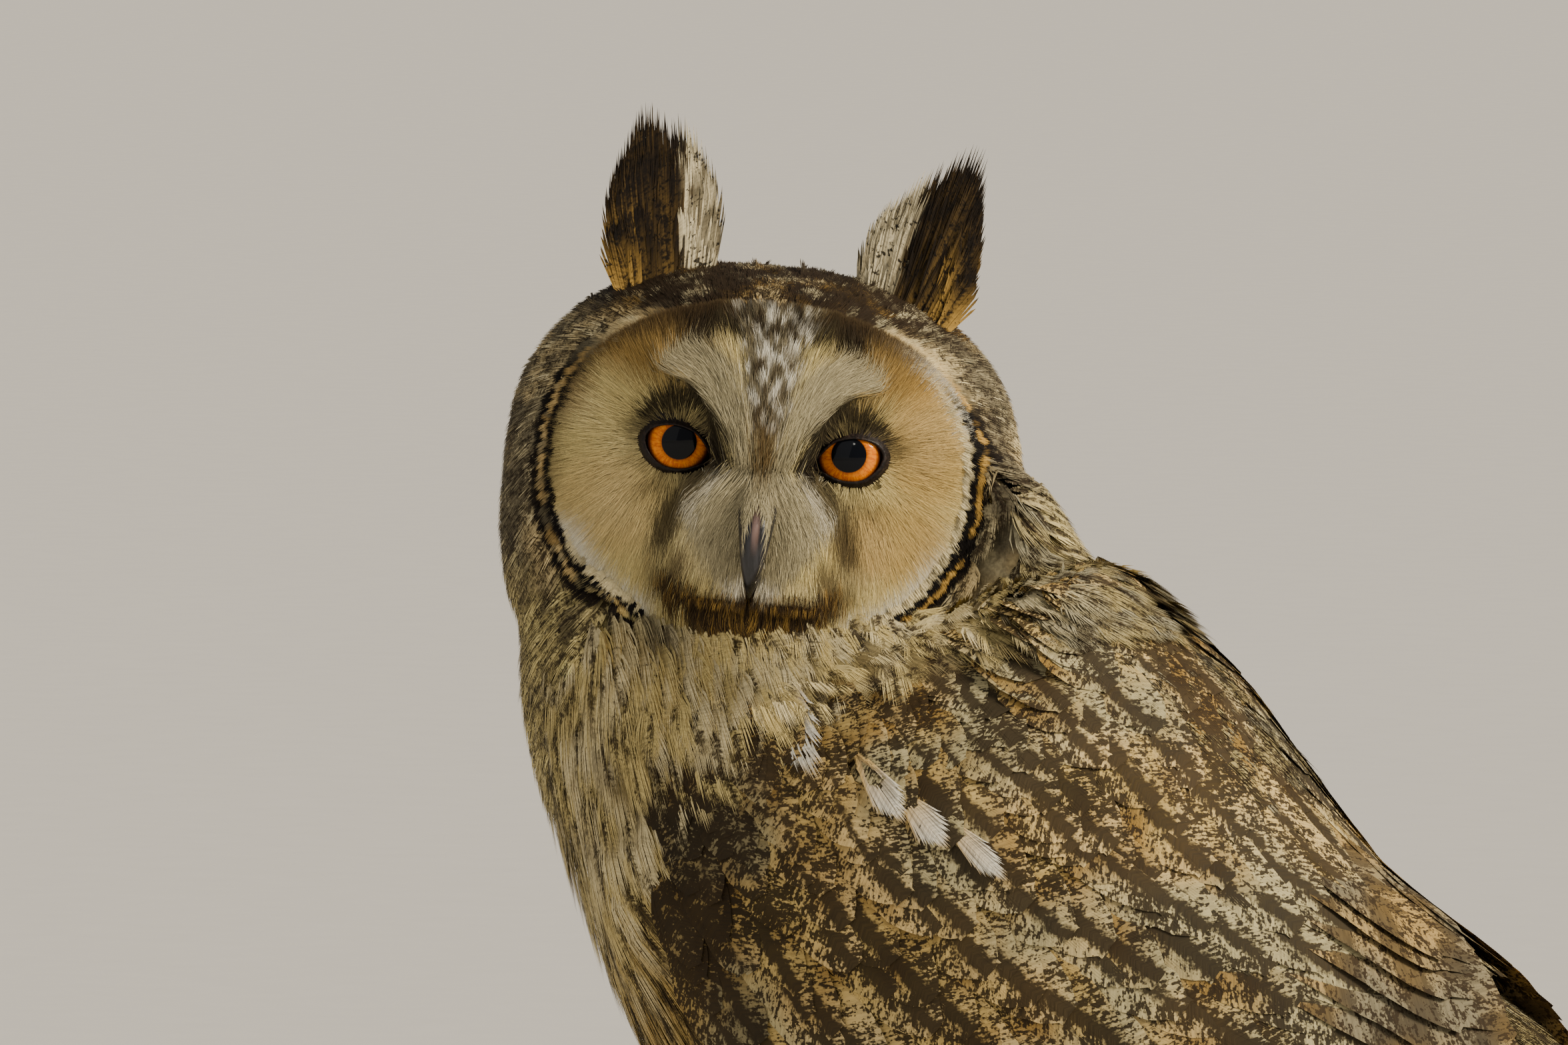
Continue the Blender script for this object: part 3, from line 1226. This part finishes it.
def body_coat():
    place, angle, side = body_roots()
    count = len(place)
    size = lerp(12.5, 21, ramp(0.6, 3, place)) * draw.uniform(0.88, 1.12, count)
    steps = np.linspace(0, 1, 5)
    ahead = place[:, None] + steps * (size / STATION_GAP)[:, None]
    line, out = draped(ahead, angle[:, None], side[:, None])
    loose = draw.uniform(-0.2, 1.0, count)[:, None]
    rise = coat_height(ahead, angle[:, None])
    points = line + out * (rise - 4.2 + (4.4 + loose) * np.sqrt(steps))[..., None]
    tint = body_tint(place, angle, points[:, 3])
    breast, neck = ramp(60, 90, angle), ramp(1.7, 0.9, place)
    plain = np.maximum(breast, neck)
    streaked = draw.uniform(0, 1, count) < lerp(0.95, 0.7, plain)
    streak = lerp(0.42, 0.36, breast) * lerp(1, 0.5, neck) * streaked * draw.uniform(0.6, 1.3, count)
    marks = stacked(streak, 0, lerp(0.8, 0.15, plain))
    roll = draw.normal(0, 7, count)
    spot = spot_on_body(place, angle, side)
    for name, here, lock in (
        ("neck_feathers", place < 1.6, lock_template(30, 0.055)),
        ("body_feathers", place >= 1.6, lock_template(20, 0.085)),
    ):
        coat = Coat()
        shafts = Shafts(points[here], out[here])
        laid = spread(lock, shafts, 0.5 * size[here], fray=0.06, cup=0.14, roll=roll[here], seed=8)
        coat.add(laid, from_root(tint[here], laid), spot[here], lerp(DARK, BROWN, 0.25), marks[here])
        coat.finish(name, "body_feathers")


# Where the folded wings' small feathers begin, as places and angles from the back to the breast
WING_FRONT = np.array([
    [2.1, 4], [1.9, 16], [1.62, 26], [1.36, 36], [1.15, 46], [0.9, 57],
    [0.7, 68], [0.62, 78], [0.6, 88], [0.42, 98], [0.4, 108], [0.45, 118],
])
CAPE_ROWS = (0.34, 0.22, 0.1, -0.02, -0.14, -0.26)
CAPE_COUNT = 64


def cape_row(coat, row, back, side):
    """One side of one row of the cape, some way behind the wings' front."""
    spaced = np.arange(CAPE_COUNT) + 0.5 * (row % 2) + draw.uniform(-0.35, 0.35, CAPE_COUNT)
    place, angle = smooth(WING_FRONT, np.clip(spaced / CAPE_COUNT, 0, 1) * (len(WING_FRONT) - 1)).T
    place = place + back - 0.3 + draw.normal(0, 0.04, CAPE_COUNT)
    steps = np.linspace(0, 1, 5)
    ahead = place[:, None] + steps * (draw.uniform(14, 19, CAPE_COUNT) / STATION_GAP)[:, None]
    turned = angle[:, None] + 2.5 * steps * draw.normal(0, 1, (CAPE_COUNT, 1))
    off = wing_height(ahead, turned) - 3.0 * (1 - steps) ** 1.3 + draw.uniform(0.5, 2.2, (CAPE_COUNT, 1))
    shafts = Shafts(over_body(ahead, turned, off, side), out_of_body(ahead, turned, side))
    rolls = draw.normal(0, 8, CAPE_COUNT)
    laid = spread(lock_template(30, 0.055), shafts, 8.0, fray=0.07, cup=0.16, roll=rolls, seed=31 + row)
    middle = shafts.points[:, 3]
    blotch = 0.75 * ramp(0.5, 0.72, mottle(middle, 8, 41)) * ramp(1.0, 0.6, back + 0.5 * (row % 2))
    tint = mixed(body_tint(place, angle, middle), lerp(BROWN, DARK, 0.3), blotch)
    marks = stacked(0.25 * draw.uniform(0, 1.3, CAPE_COUNT), 0, 0.2)
    coat.add(laid, from_root(tint, laid, 0.65), spot_on_body(place, angle, side), SOOT, marks)


def cape_coat():
    """The neck's loose feathers that lie over the front of the folded wings."""
    coat = Coat()
    for row, back in enumerate(CAPE_ROWS):
        for side in (-1, 1):
            cape_row(coat, row, back, side)
    return coat.finish("cape_feathers", "body_feathers")


# Folded wings. Rows run from the long feathers to the small ones over them. Each long row goes from its
# lowest feather to its highest: place along the body and angle from the back of the roots, then of the tips.

LONG_ROWS = {
    "primary": dict(count=8, root=[(3.5, 122), (3.6, 96)], tip=[(7.75, 74), (6.6, 64)], height=(1.0, 1.4)),
    "secondary": dict(count=14, root=[(2.6, 114), (2.9, 56)], tip=[(5.3, 120), (6.3, 42)], height=(2.4, 5.0)),
    "tertial": dict(count=6, root=[(2.8, 50), (2.7, 20)], tip=[(6.2, 38), (5.75, 8)], height=(3.0, 5.8)),
}
LONG_WIDTH = {"primary": 18, "secondary": 22, "tertial": 23}
PRIMARY_STEP = 0.4
# Tracts of small feathers: tips from the rear to the front with the step between rows, angles from the upper to
# the lower feathers, the step between them, widths, lengths, and how far down the foremost row reaches
TRACTS = {
    "lesser": ((2.25, 1.22, 0.13), (54, 118), 8.6, (11.5, 9), (19, 14), 0.86),
    "covert": ((5.4, 2.3, 0.24), (55, 129), 12.2, (17, 14), (38, 24), 0.86),
    "scapular": ((5.9, 1.5, 0.24), (8, 58), 11.0, (18, 13), (46, 24), 1.0),
}
STREAKS = {"lesser": 0.22, "covert": 0.5, "scapular": 0.55}
# Pale outer edges of the lowest scapulars: places and angles of their tips, lengths and widths
PALE_SPOTS = np.array([(1.56, 79.5, 30, 12), (2.25, 73.4, 19, 7.5), (2.62, 71.6, 16, 8), (3.12, 69.2, 20, 6)])


def wing_height(place, angle):
    """How far the folded wing's outer surface stands off the body."""
    top = np.interp(place, [0.3, 0.9, 1.6, 2.4, 3.2, 4.3, 5.5, 7.7], [0.6, 4.6, 8.8, 10.2, 10.6, 8.2, 5.6, 1.8])
    edge = ramp(8, 40, angle) * 0.25 + 0.75
    return top * edge * lerp(1, 0.72, ramp(112, 134, angle))


def wing_row(side, root, tip, count, height, steps=7):
    """Shafts of one row of the long feathers, with their places and angles."""
    share = np.linspace(0, 1, count)[:, None] + draw.uniform(-0.2, 0.2, (count, 1)) / count
    along = np.linspace(0, 1, steps)
    tips = lerp(tip[0][0], tip[1][0], share) + draw.normal(0, 0.03, (count, 1))
    place = lerp(lerp(root[0][0], root[1][0], share), tips, along)
    angle = lerp(lerp(root[0][1], root[1][1], share), lerp(tip[0][1], tip[1][1], share), along)
    points = over_body(place, angle, lerp(*height, along), side)
    return Shafts(points, out_of_body(place, angle, side)), place, angle


def tract_rows(tips, angles, step, width, length, taper):
    """Tip places and angles of a tract's feathers, row by row from the rear, each between those behind it."""
    place, row = tips[0], 0
    while place > tips[1]:
        share = (place - tips[1]) / (tips[0] - tips[1])
        low = lerp(angles[0] + taper * (angles[1] - angles[0]), angles[1], share)
        angle = np.arange(angles[0] + 0.18 * step * (row % 2), low, step)
        yield place, angle, lerp(width[1], width[0], share), lerp(length[1], length[0], share)
        place -= tips[2] * lerp(0.72, 1.0, share)
        row += 1


def small_shafts(side, tip, angle, length, height=0.0, steps=6):
    """Shafts of small wing feathers that end at these places and angles and rise from under the others."""
    along = np.linspace(0, 1, steps)
    place = tip[:, None] - (1 - along) * (length / STATION_GAP)[:, None]
    lean = angle[:, None] - (1 - along) * 3.0 * ramp(60, 100, angle)[:, None]
    off = wing_height(place, lean) - 2.0 * (1 - along) ** 1.3 + height
    return Shafts(over_body(place, lean, off, side), out_of_body(place, lean, side))


def shoulder(place, angle):
    """How far a wing feather belongs to the dark shoulder."""
    ahead = ramp(2.3, 1.6, place) * ramp(80, 98, angle)
    return np.clip(ahead + 0.9 * ramp(98, 114, angle) * ramp(3.2, 2.3, place), 0, 1)[:, None]


def wing_tint(kind, place, angle, laid, coarse):
    """Golden where a feather leaves cover and paler towards its end, in patches that run over many feathers."""
    own = draw.uniform(0, 1, (len(coarse), 1))
    color = mixed(STRAW, TAN, ramp(0.3, 0.75, mottle(laid.points, 7, 32)))
    ends = mixed(lerp(CREAM, GOLD, 0.6), lerp(GREY, PALE_BUFF, 0.3), ramp(0.35, 0.7, coarse))
    color = mixed(color, ends, ramp(0.4, 1.0, laid.lay[..., 0] + 0.6 * (own - 0.5) + 0.8 * (coarse - 0.5)))
    if kind != "scapular":
        color = mixed(color, SOOT, 0.62 * shoulder(place, angle))
        warm = (ramp(1.9, 1.3, place) * ramp(105, 75, angle))[:, None]
        color = mixed(color, lerp(GOLD, BROWN, 0.6), 0.6 * warm)
    return np.clip(color * (0.88 + 0.24 * own[..., None]), 0, 1)


def wing_marks(kind, place, angle, points, coarse):
    """How broad the shaft streaks are, and how dense the speckles, from place to place."""
    streaks = STREAKS[kind] * draw.uniform(0.7, 1.2, (len(coarse), 1))
    grain = np.clip(0.84 + 0.6 * (mottle(points, 8, 35) - 0.5) - 0.25 * (coarse - 0.5), 0, 1.1)
    if kind != "scapular":
        grain = grain + 0.3 * shoulder(place, angle)
    return stacked(streaks, 0, grain)


def long_feathers(coat, side):
    """Primaries, secondaries and tertials."""
    vane = vane_template(26, tip_round=0.14)
    for kind, row in LONG_ROWS.items():
        shafts, place, angle = wing_row(side, **row)
        if kind == "primary":
            stack = np.arange(row["count"])[:, None, None] * PRIMARY_STEP
            shafts = Shafts(shafts.points + shafts.out * stack, shafts.out)
        laid = spread(vane, shafts, LONG_WIDTH[kind], fray=0.008, cup=0.04, roll=side * 2.0, seed=40)
        blotch = ramp(0.35, 0.75, mottle(laid.points, 9, 33))
        tint = mixed(lerp(GOLD, GREY, 0.3), lerp(GREY, BROWN, 0.4), blotch)
        coat.add(laid, tint, spot_on_body(place[:, 0], angle[:, 0], side), SOOT, (0.12, 0.75, 0.75))


def small_feathers(coat, side):
    """Coverts and scapulars, row by row."""
    vane = soft_vane_template(14, 44)
    rows = [(kind, *row) for kind, tract in TRACTS.items() for row in tract_rows(*tract)]
    for number, (kind, tip, angles, width, length) in enumerate(rows):
        count = len(angles)
        angles = angles + draw.normal(0, 0.9, count)
        tips = tip + draw.normal(0, 0.035, count)
        lengths = length * draw.uniform(0.93, 1.07, count)
        shafts = small_shafts(side, tips, angles, lengths, 0.12 * (number % 3))
        rolls = side * 1.5 + draw.normal(0, 1.5, count)
        laid = spread(vane, shafts, width, fray=0.012, cup=0.1, roll=rolls, seed=50 + number)
        coarse = mottle(laid.points, 15, 31)
        tint = wing_tint(kind, tips, angles, laid, coarse)
        marks = wing_marks(kind, tips, angles, laid.points, coarse)
        shade = mixed(DARK, BROWN, 0.35 * mottle(laid.points, 9, 36))
        coat.add(laid, tint, spot_on_body(tips, angles, side), shade, marks, PATCH["vane"])


def pale_spots(coat, side):
    """The row of pale spots under the scapulars."""
    tips, angles, lengths, widths = PALE_SPOTS.T
    shafts = small_shafts(side, tips, angles, lengths, 1.3)
    laid = spread(lock_template(40, 0.05, True), shafts, widths, fray=0.03, cup=0.12, roll=side * 4, seed=90)
    along, across = laid.lay[..., 0], laid.lay[..., 1] * side
    middle = ramp(0.3, 0.55, along) * ramp(0.95, 0.6, across) * ramp(1.03, 0.9, along)
    tint = mixed(lerp(GOLD, CREAM, 0.25), WHITE * 0.92, middle)
    coat.add(laid, tint, spot_on_body(tips, angles, side), marks=(0, 0, 0.1), patch=PATCH["vane"])


def wing_coat(word, side):
    coat = Coat()
    long_feathers(coat, side)
    small_feathers(coat, side)
    pale_spots(coat, side)
    return coat.finish(f"wing_{word}_feathers", "wing_feathers", (f"wing_{word}",), soft=0.35)


# Tail, ear tufts, legs and feet

TAIL = {"count": 12, "base": (136, 0, 82), "drop": 27, "length": 142, "width": 21, "root": 1.6, "tip": 3.3}


def tail_coat():
    coat = Coat()
    count = TAIL["count"]
    drop = math.radians(TAIL["drop"])
    along = np.array([math.cos(drop), 0, -math.sin(drop)])
    out = np.array([math.sin(drop), 0, math.cos(drop)])
    steps = np.linspace(0, 1, 6)
    lines = []
    for k in range(count):
        side, pair = (1 if k % 2 else -1), k // 2
        line = np.array(TAIL["base"]) + along * (steps * (TAIL["length"] - 1.6 * pair))[:, None]
        line = line + out * (1.5 * np.sin(math.pi * steps) - 1.2 * (pair + (0.5 if side > 0 else 0)))[:, None]
        line[:, 1] = side * (pair + 0.5) * lerp(TAIL["root"], TAIL["tip"], steps)
        lines.append(line)
    lines = np.array(lines)
    shafts = Shafts(lines, np.broadcast_to(out, lines.shape))
    vane = vane_template(34, tip_round=0.1, ragged=0.012)
    laid = spread(vane, shafts, TAIL["width"], fray=0.006, cup=0.04, seed=61)
    tint = lerp(GOLD, GREY, 0.35) * lerp(0.85, 1.05, laid.lay[..., :1])
    spot = stacked(np.arange(count) / count + 0.04, 0.02)
    coat.add(laid, tint, spot, lerp(DARK, BROWN, 0.4), (0.0, 0.85, 0.5), PATCH["tail"])
    return coat.finish("tail_feathers", "tail_feathers", ("tail",), soft=0.1)


# Ear tufts: side, x of the roots from the outer to the inner feather, and x and z of the tips
TUFTS = {
    "ear_tuft_right": (-1, (29, 16), [(34.5, 53), (32, 60), (29.8, 63.4), (25.6, 61.5), (21.5, 61), (17, 54)]),
    "ear_tuft_left": (1, (30, 17.5), [(37.5, 50), (37.6, 57), (36, 61.8), (31, 58.6), (26, 55), (18.5, 48)]),
}
TUFT_ROOT = 24.0
# Layers from the hind one forward: feathers and height
TUFT_LAYERS = [(26, 1), (22, 0.86), (16, 0.6)]


def tuft_tint(inner, laid):
    """Dark in the middle, pale and speckled inside and golden outside near the root."""
    speckle = ramp(0.5, 0.75, mottle(laid.points, 1.3, 74))
    dark = mixed(DARK, lerp(BROWN, GOLD, 0.35), 0.2 * ramp(0.5, 0.75, mottle(laid.points, 2.0, 73)))
    pale = mixed(lerp(CREAM, WHITE, 0.2), lerp(GREY, BROWN, 0.5), speckle)
    color = mixed(dark, pale, ramp(0.7, 0.78, inner) * ramp(1.06, 0.95, inner))
    along = laid.lay[..., 0]
    low = ramp(0.8, 0.3, along)
    return mixed(color, GOLD, np.maximum(ramp(0.3, 0.12, inner) * low, 0.35 * ramp(0.3, 0.1, along)))


def tuft_coat(name, side, base, tips_line):
    """Long feathers in three layers, the hind ones tallest."""
    coat = Coat()
    lock = lock_template(24, 0.075, True)
    tips_line = np.array(tips_line, float)
    steps = np.linspace(0, 1, 7)
    for layer, (count, tall) in enumerate(TUFT_LAYERS):
        share = np.clip(np.linspace(0.02, 0.98, count) + draw.normal(0, 0.02, count), 0, 1)
        inner = share[:, None]
        tips = smooth(tips_line, share * (len(tips_line) - 1))
        bend = 1.8 * np.sin(math.pi * steps) * (1 - 2 * inner)
        x = lerp(lerp(*base, inner), tips[:, :1], steps) + bend
        f = 4.0 + 1.1 * layer - 3.9 * inner - 3 * steps
        top = lerp(TUFT_ROOT, tips[:, 1:] + 1.5, tall * draw.uniform(0.97, 1.02, (count, 1)))
        points = in_head(side * x, f, lerp(TUFT_ROOT, top, steps))
        shafts = Shafts(points, np.broadcast_to(FACE_OUT, points.shape))
        rolls = draw.normal(0, 9, count)
        laid = spread(lock, shafts, 6.6, fray=0.05, cup=0.1, roll=rolls, seed=71 + layer)
        tint = tuft_tint(inner + 0.05 * laid.lay[..., 1] * side, laid)
        marks = stacked(0.08 * (1 - ramp(0.6, 0.8, share)), 0, 0.45)
        coat.add(laid, tint, spot_on_head(points[:, 0]), BLACK, marks)
    return coat.finish(f"{name}_feathers", "ear_feathers", (name,))


def leg_coat():
    """Short, unmarked feathers down the legs and over the toes."""
    coat = Coat()
    floor = bird(np.zeros(3))[2]
    quads = flesh_points[flesh_faces]
    middles = quads.mean(axis=1)
    off_floor = quads[:, :, 2].min(axis=1) > floor + 1.0
    legs = np.nonzero((middles[:, 2] < LEG_TOP + 8) & (middles[:, 0] < 95) & off_floor)[0]
    roots = middles[draw.choice(legs, 3600)]
    count = len(roots)
    roots = roots + draw.normal(0, 0.8, (count, 3))
    foot = ramp(floor + 24, floor + 12, roots[:, 2])

    def flow(points):
        return mixed(DOWN, np.array([-0.9, 0, -0.3]), ramp(floor + 22, floor + 12, points[:, 2]))

    length = lerp(7.5, 3.2, foot) * draw.uniform(0.8, 1.2, count)
    shafts = laid_over(roots, flow, length, (-1.2, 0.7))
    rolls = draw.normal(0, 10, count)
    laid = spread(lock_template(8, 0.17), shafts, lerp(4.2, 2.4, foot), fray=0.1, cup=0.1, roll=rolls, seed=95)
    tint = mixed(STRAW, lerp(GOLD, BROWN, 0.15), ramp(0.4, 0.8, mottle(roots, 5, 96)))
    tint = tint * draw.normal(1, 0.07, (count, 1))
    side = np.sign(roots[:, 1])
    turn = np.degrees(np.arctan2(roots[:, 0] + 10, roots[:, 1] * side))
    up = 0.02 + 0.9 * np.clip((roots[:, 2] - floor) / 90, 0, 1)
    spot = stacked(0.5 + side * (0.1 + 0.3 * (turn + 180) / 360), up)
    coat.add(laid, from_root(tint, laid, 0.62), spot)
    return coat.finish("leg_feathers", "leg_feathers")


# Eyes, lids, bill and claws

def eye_piece(word, side):
    """An eyeball that looks forward, with a low bulge over the iris."""
    middle = in_head(side * EYE["x"], EYE["f"], EYE["z"])
    gaze = unit(in_head(side * PUPIL_X, EYE["f"] + 9.4, PUPIL_Z[side]) - middle)
    left = unit(np.cross(HEAD_UP, gaze))
    up = np.cross(gaze, left)
    away = np.linspace(0.02, math.pi - 0.02, 40)
    turn = np.linspace(0, 2 * math.pi, 64, endpoint=False)
    radius = EYE["radius"] - 0.35 * ramp(0.5, 0.8, away)
    round_gaze = left * np.cos(turn)[:, None] + up * np.sin(turn)[:, None]
    ways = gaze * np.cos(away)[:, None, None] + round_gaze[None] * np.sin(away)[:, None, None]
    points, faces = loft(middle + radius[:, None, None] * ways)
    mesh = mesh_of(f"eyeball_{word}", points, faces)
    apart = points - middle
    paint(mesh, "gaze", stacked(apart @ left, apart @ up, apart @ gaze))
    return piece_of(mesh, eye_look, "eye", (f"eye_{word}",))


def lid_piece(word, side, count=80):
    """Bare, dark lids: a rounded rim round the opening that runs out under the feathers."""
    place = np.linspace(0, len(LID_EDGE), count, endpoint=False)
    edge = smooth(np.vstack([LID_EDGE] * 3), place + len(LID_EDGE))
    edge = edge + np.array([PUPIL_X - EYE["x"], PUPIL_Z[side] - EYE["z"]])
    middle = in_head(side * EYE["x"], EYE["f"], EYE["z"])
    rings = []
    for share, radius in LID_PROFILE:
        flat = edge * share
        deep = np.sqrt(np.maximum(radius**2 - (flat**2).sum(-1), 1.0))
        beside = middle + HEAD_LEFT * (side * flat[:, :1])
        rings.append(beside + HEAD_UP * flat[:, 1:] + FACE_OUT * deep[:, None])
    points = np.array(rings).reshape(-1, 3)
    faces = np.concatenate([stacked(a, b, b + count, a + count) for a, b in strips(len(rings), count)])
    mesh = mesh_of(f"lids_{word}", points, faces if side > 0 else faces[:, ::-1])
    return piece_of(mesh, lid_look, "facial_disc")


def bill_piece(name, rows, node, paleness):
    """A half of the bill, smooth along its rings."""
    line = smooth(np.array(rows, float), np.linspace(0, len(rows) - 1, 40))
    step = unit(np.gradient(line[:, :2], axis=0))
    ways = FACE_OUT * step[:, :1] + HEAD_UP * step[:, 1:]
    centres = in_head(np.zeros(len(line)), line[:, 0], line[:, 1])
    turn = np.linspace(0, 2 * math.pi, 48, endpoint=False)
    high = np.cross(HEAD_LEFT, ways)
    ridge = 1 + 0.06 * np.cos(2 * turn - math.pi)
    beside = HEAD_LEFT * (line[:, 2:3] * np.cos(turn) * ridge)[..., None]
    points, faces = loft(centres[:, None] + beside + high[:, None] * (line[:, 3:4] * np.sin(turn))[..., None])
    mesh = mesh_of(name, points, faces)
    x, f, z = to_head(points)
    pale = ramp(1.0, 0.3, np.abs(x)) * ramp(-22, -15, z) * ramp(35, 37, f) * paleness
    paint(mesh, "tint", with_alpha(np.broadcast_to(srgb(170, 136, 124), points.shape), pale))
    return piece_of(mesh, bill_look, "bill_horn", (node,))


def claws():
    """The claws of the solids, smoothed."""
    look = claw_material()
    for name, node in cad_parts.items():
        if name.startswith("claw_"):
            smoother = node.modifiers.new("smooth", "SUBSURF")
            smoother.levels = smoother.render_levels = 2
            node.data.materials.clear()
            node.data.materials.append(look)


def skin_piece():
    inner = flesh_points - flesh_normals * coat_depth(flesh_points)[:, None]
    mesh = mesh_of("skin", inner, flesh_faces)
    x, f, z = to_head(flesh_points)
    tint = mixed(lerp(GOLD, BROWN, 0.4), head_tint(flesh_points), ramp(70, 58, from_middle(flesh_points)))
    tint = mixed(tint, face_tint(x, z, flesh_points), ramp(0, 8, f) * ramp(1.12, 1.0, disc_share(x, z)))
    paint(mesh, "tint", with_alpha(tint))
    return piece_of(mesh, skin_look, "body_feathers", FLESH)


# Camera, floor and lights

def camera():
    level_up = np.cross(FACE_OUT, LEVEL_LEFT)
    middle = in_head(0, EYE_DEPTH, 0)
    place = packed(middle + LEVEL_LEFT * CAMERA_RIGHT - level_up * CAMERA_DOWN + FACE_OUT * CAMERA_AWAY)
    lens = bpy.data.cameras.new("camera")
    lens.lens = LENS
    lens.sensor_width = SENSOR
    lens.clip_end = 100
    seen = bpy.data.objects.new("camera", lens)
    turned = Matrix((LEVEL_LEFT, level_up, FACE_OUT)).transposed().to_4x4()
    turned.translation = Vector(place)
    seen.matrix_world = turned
    bpy.context.collection.objects.link(seen)
    bpy.context.scene.camera = seen


LAMP_AWAY = 1.6
# Lamps: kind, azimuth and elevation of their place, then their own settings
LAMPS = {
    "key": ("SUN", 86, 32, dict(energy=5.5, angle=math.radians(22), color=(1.0, 0.9, 0.74))),
    "fill": ("AREA", -10, 30, dict(size=1.8, energy=4, color=(1.0, 0.96, 0.9))),
    "glint": ("AREA", 30, 34, dict(size=0.1, energy=0.9, color=(1.0, 0.95, 0.85))),
}


def lamp(name, kind, azimuth, elevation, settings):
    """A soft light that looks at the bird from a direction round it."""
    data = bpy.data.lights.new(name, kind)
    for key, value in settings.items():
        setattr(data, key, value)
    way = heading(azimuth, elevation)
    light = bpy.data.objects.new(name, data)
    light.location = packed(HEAD_MIDDLE + DOWN * 40) + way * LAMP_AWAY
    light.rotation_euler = Vector(way).to_track_quat("Z", "Y").to_euler()
    bpy.context.collection.objects.link(light)


def surroundings():
    bpy.ops.mesh.primitive_plane_add(size=80)
    ground = bpy.context.object
    ground.name = "floor"
    ground.data.materials.append(floor_material())
    ground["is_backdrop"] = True
    for name, values in LAMPS.items():
        lamp(name, *values)
    world = bpy.data.worlds.new("studio")
    world.use_nodes = True
    world.node_tree.nodes["Background"].inputs["Color"].default_value = (1.0, 0.98, 0.95, 1.0)
    world.node_tree.nodes["Background"].inputs["Strength"].default_value = 0.3
    bpy.context.scene.world = world


skin_look, lid_look, bill_look, eye_look = skin_material(), lid_material(), bill_material(), eye_material()
skin_piece()
for part_name, part_values in FACE_PARTS.items():
    face_coat(part_name, *part_values)
head_coat()
ruff_coat()
body_coat()
cape_coat()
wing_coat("left", -1)
wing_coat("right", 1)
tail_coat()
leg_coat()
for tuft_name, tuft_values in TUFTS.items():
    tuft_coat(tuft_name, *tuft_values)
eye_piece("left", 1)
eye_piece("right", -1)
lid_piece("left", 1)
lid_piece("right", -1)
bill_piece("bill_top", BILL_UPPER, "bill_upper", 0.5)
bill_piece("bill_bottom", BILL_LOWER, "bill_lower", 0)
claws()
camera()
surroundings()

({key: [[float(part) for part in corner] for corner in box] for key, box in
           (("cad", cad_box), ("visual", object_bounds()))})
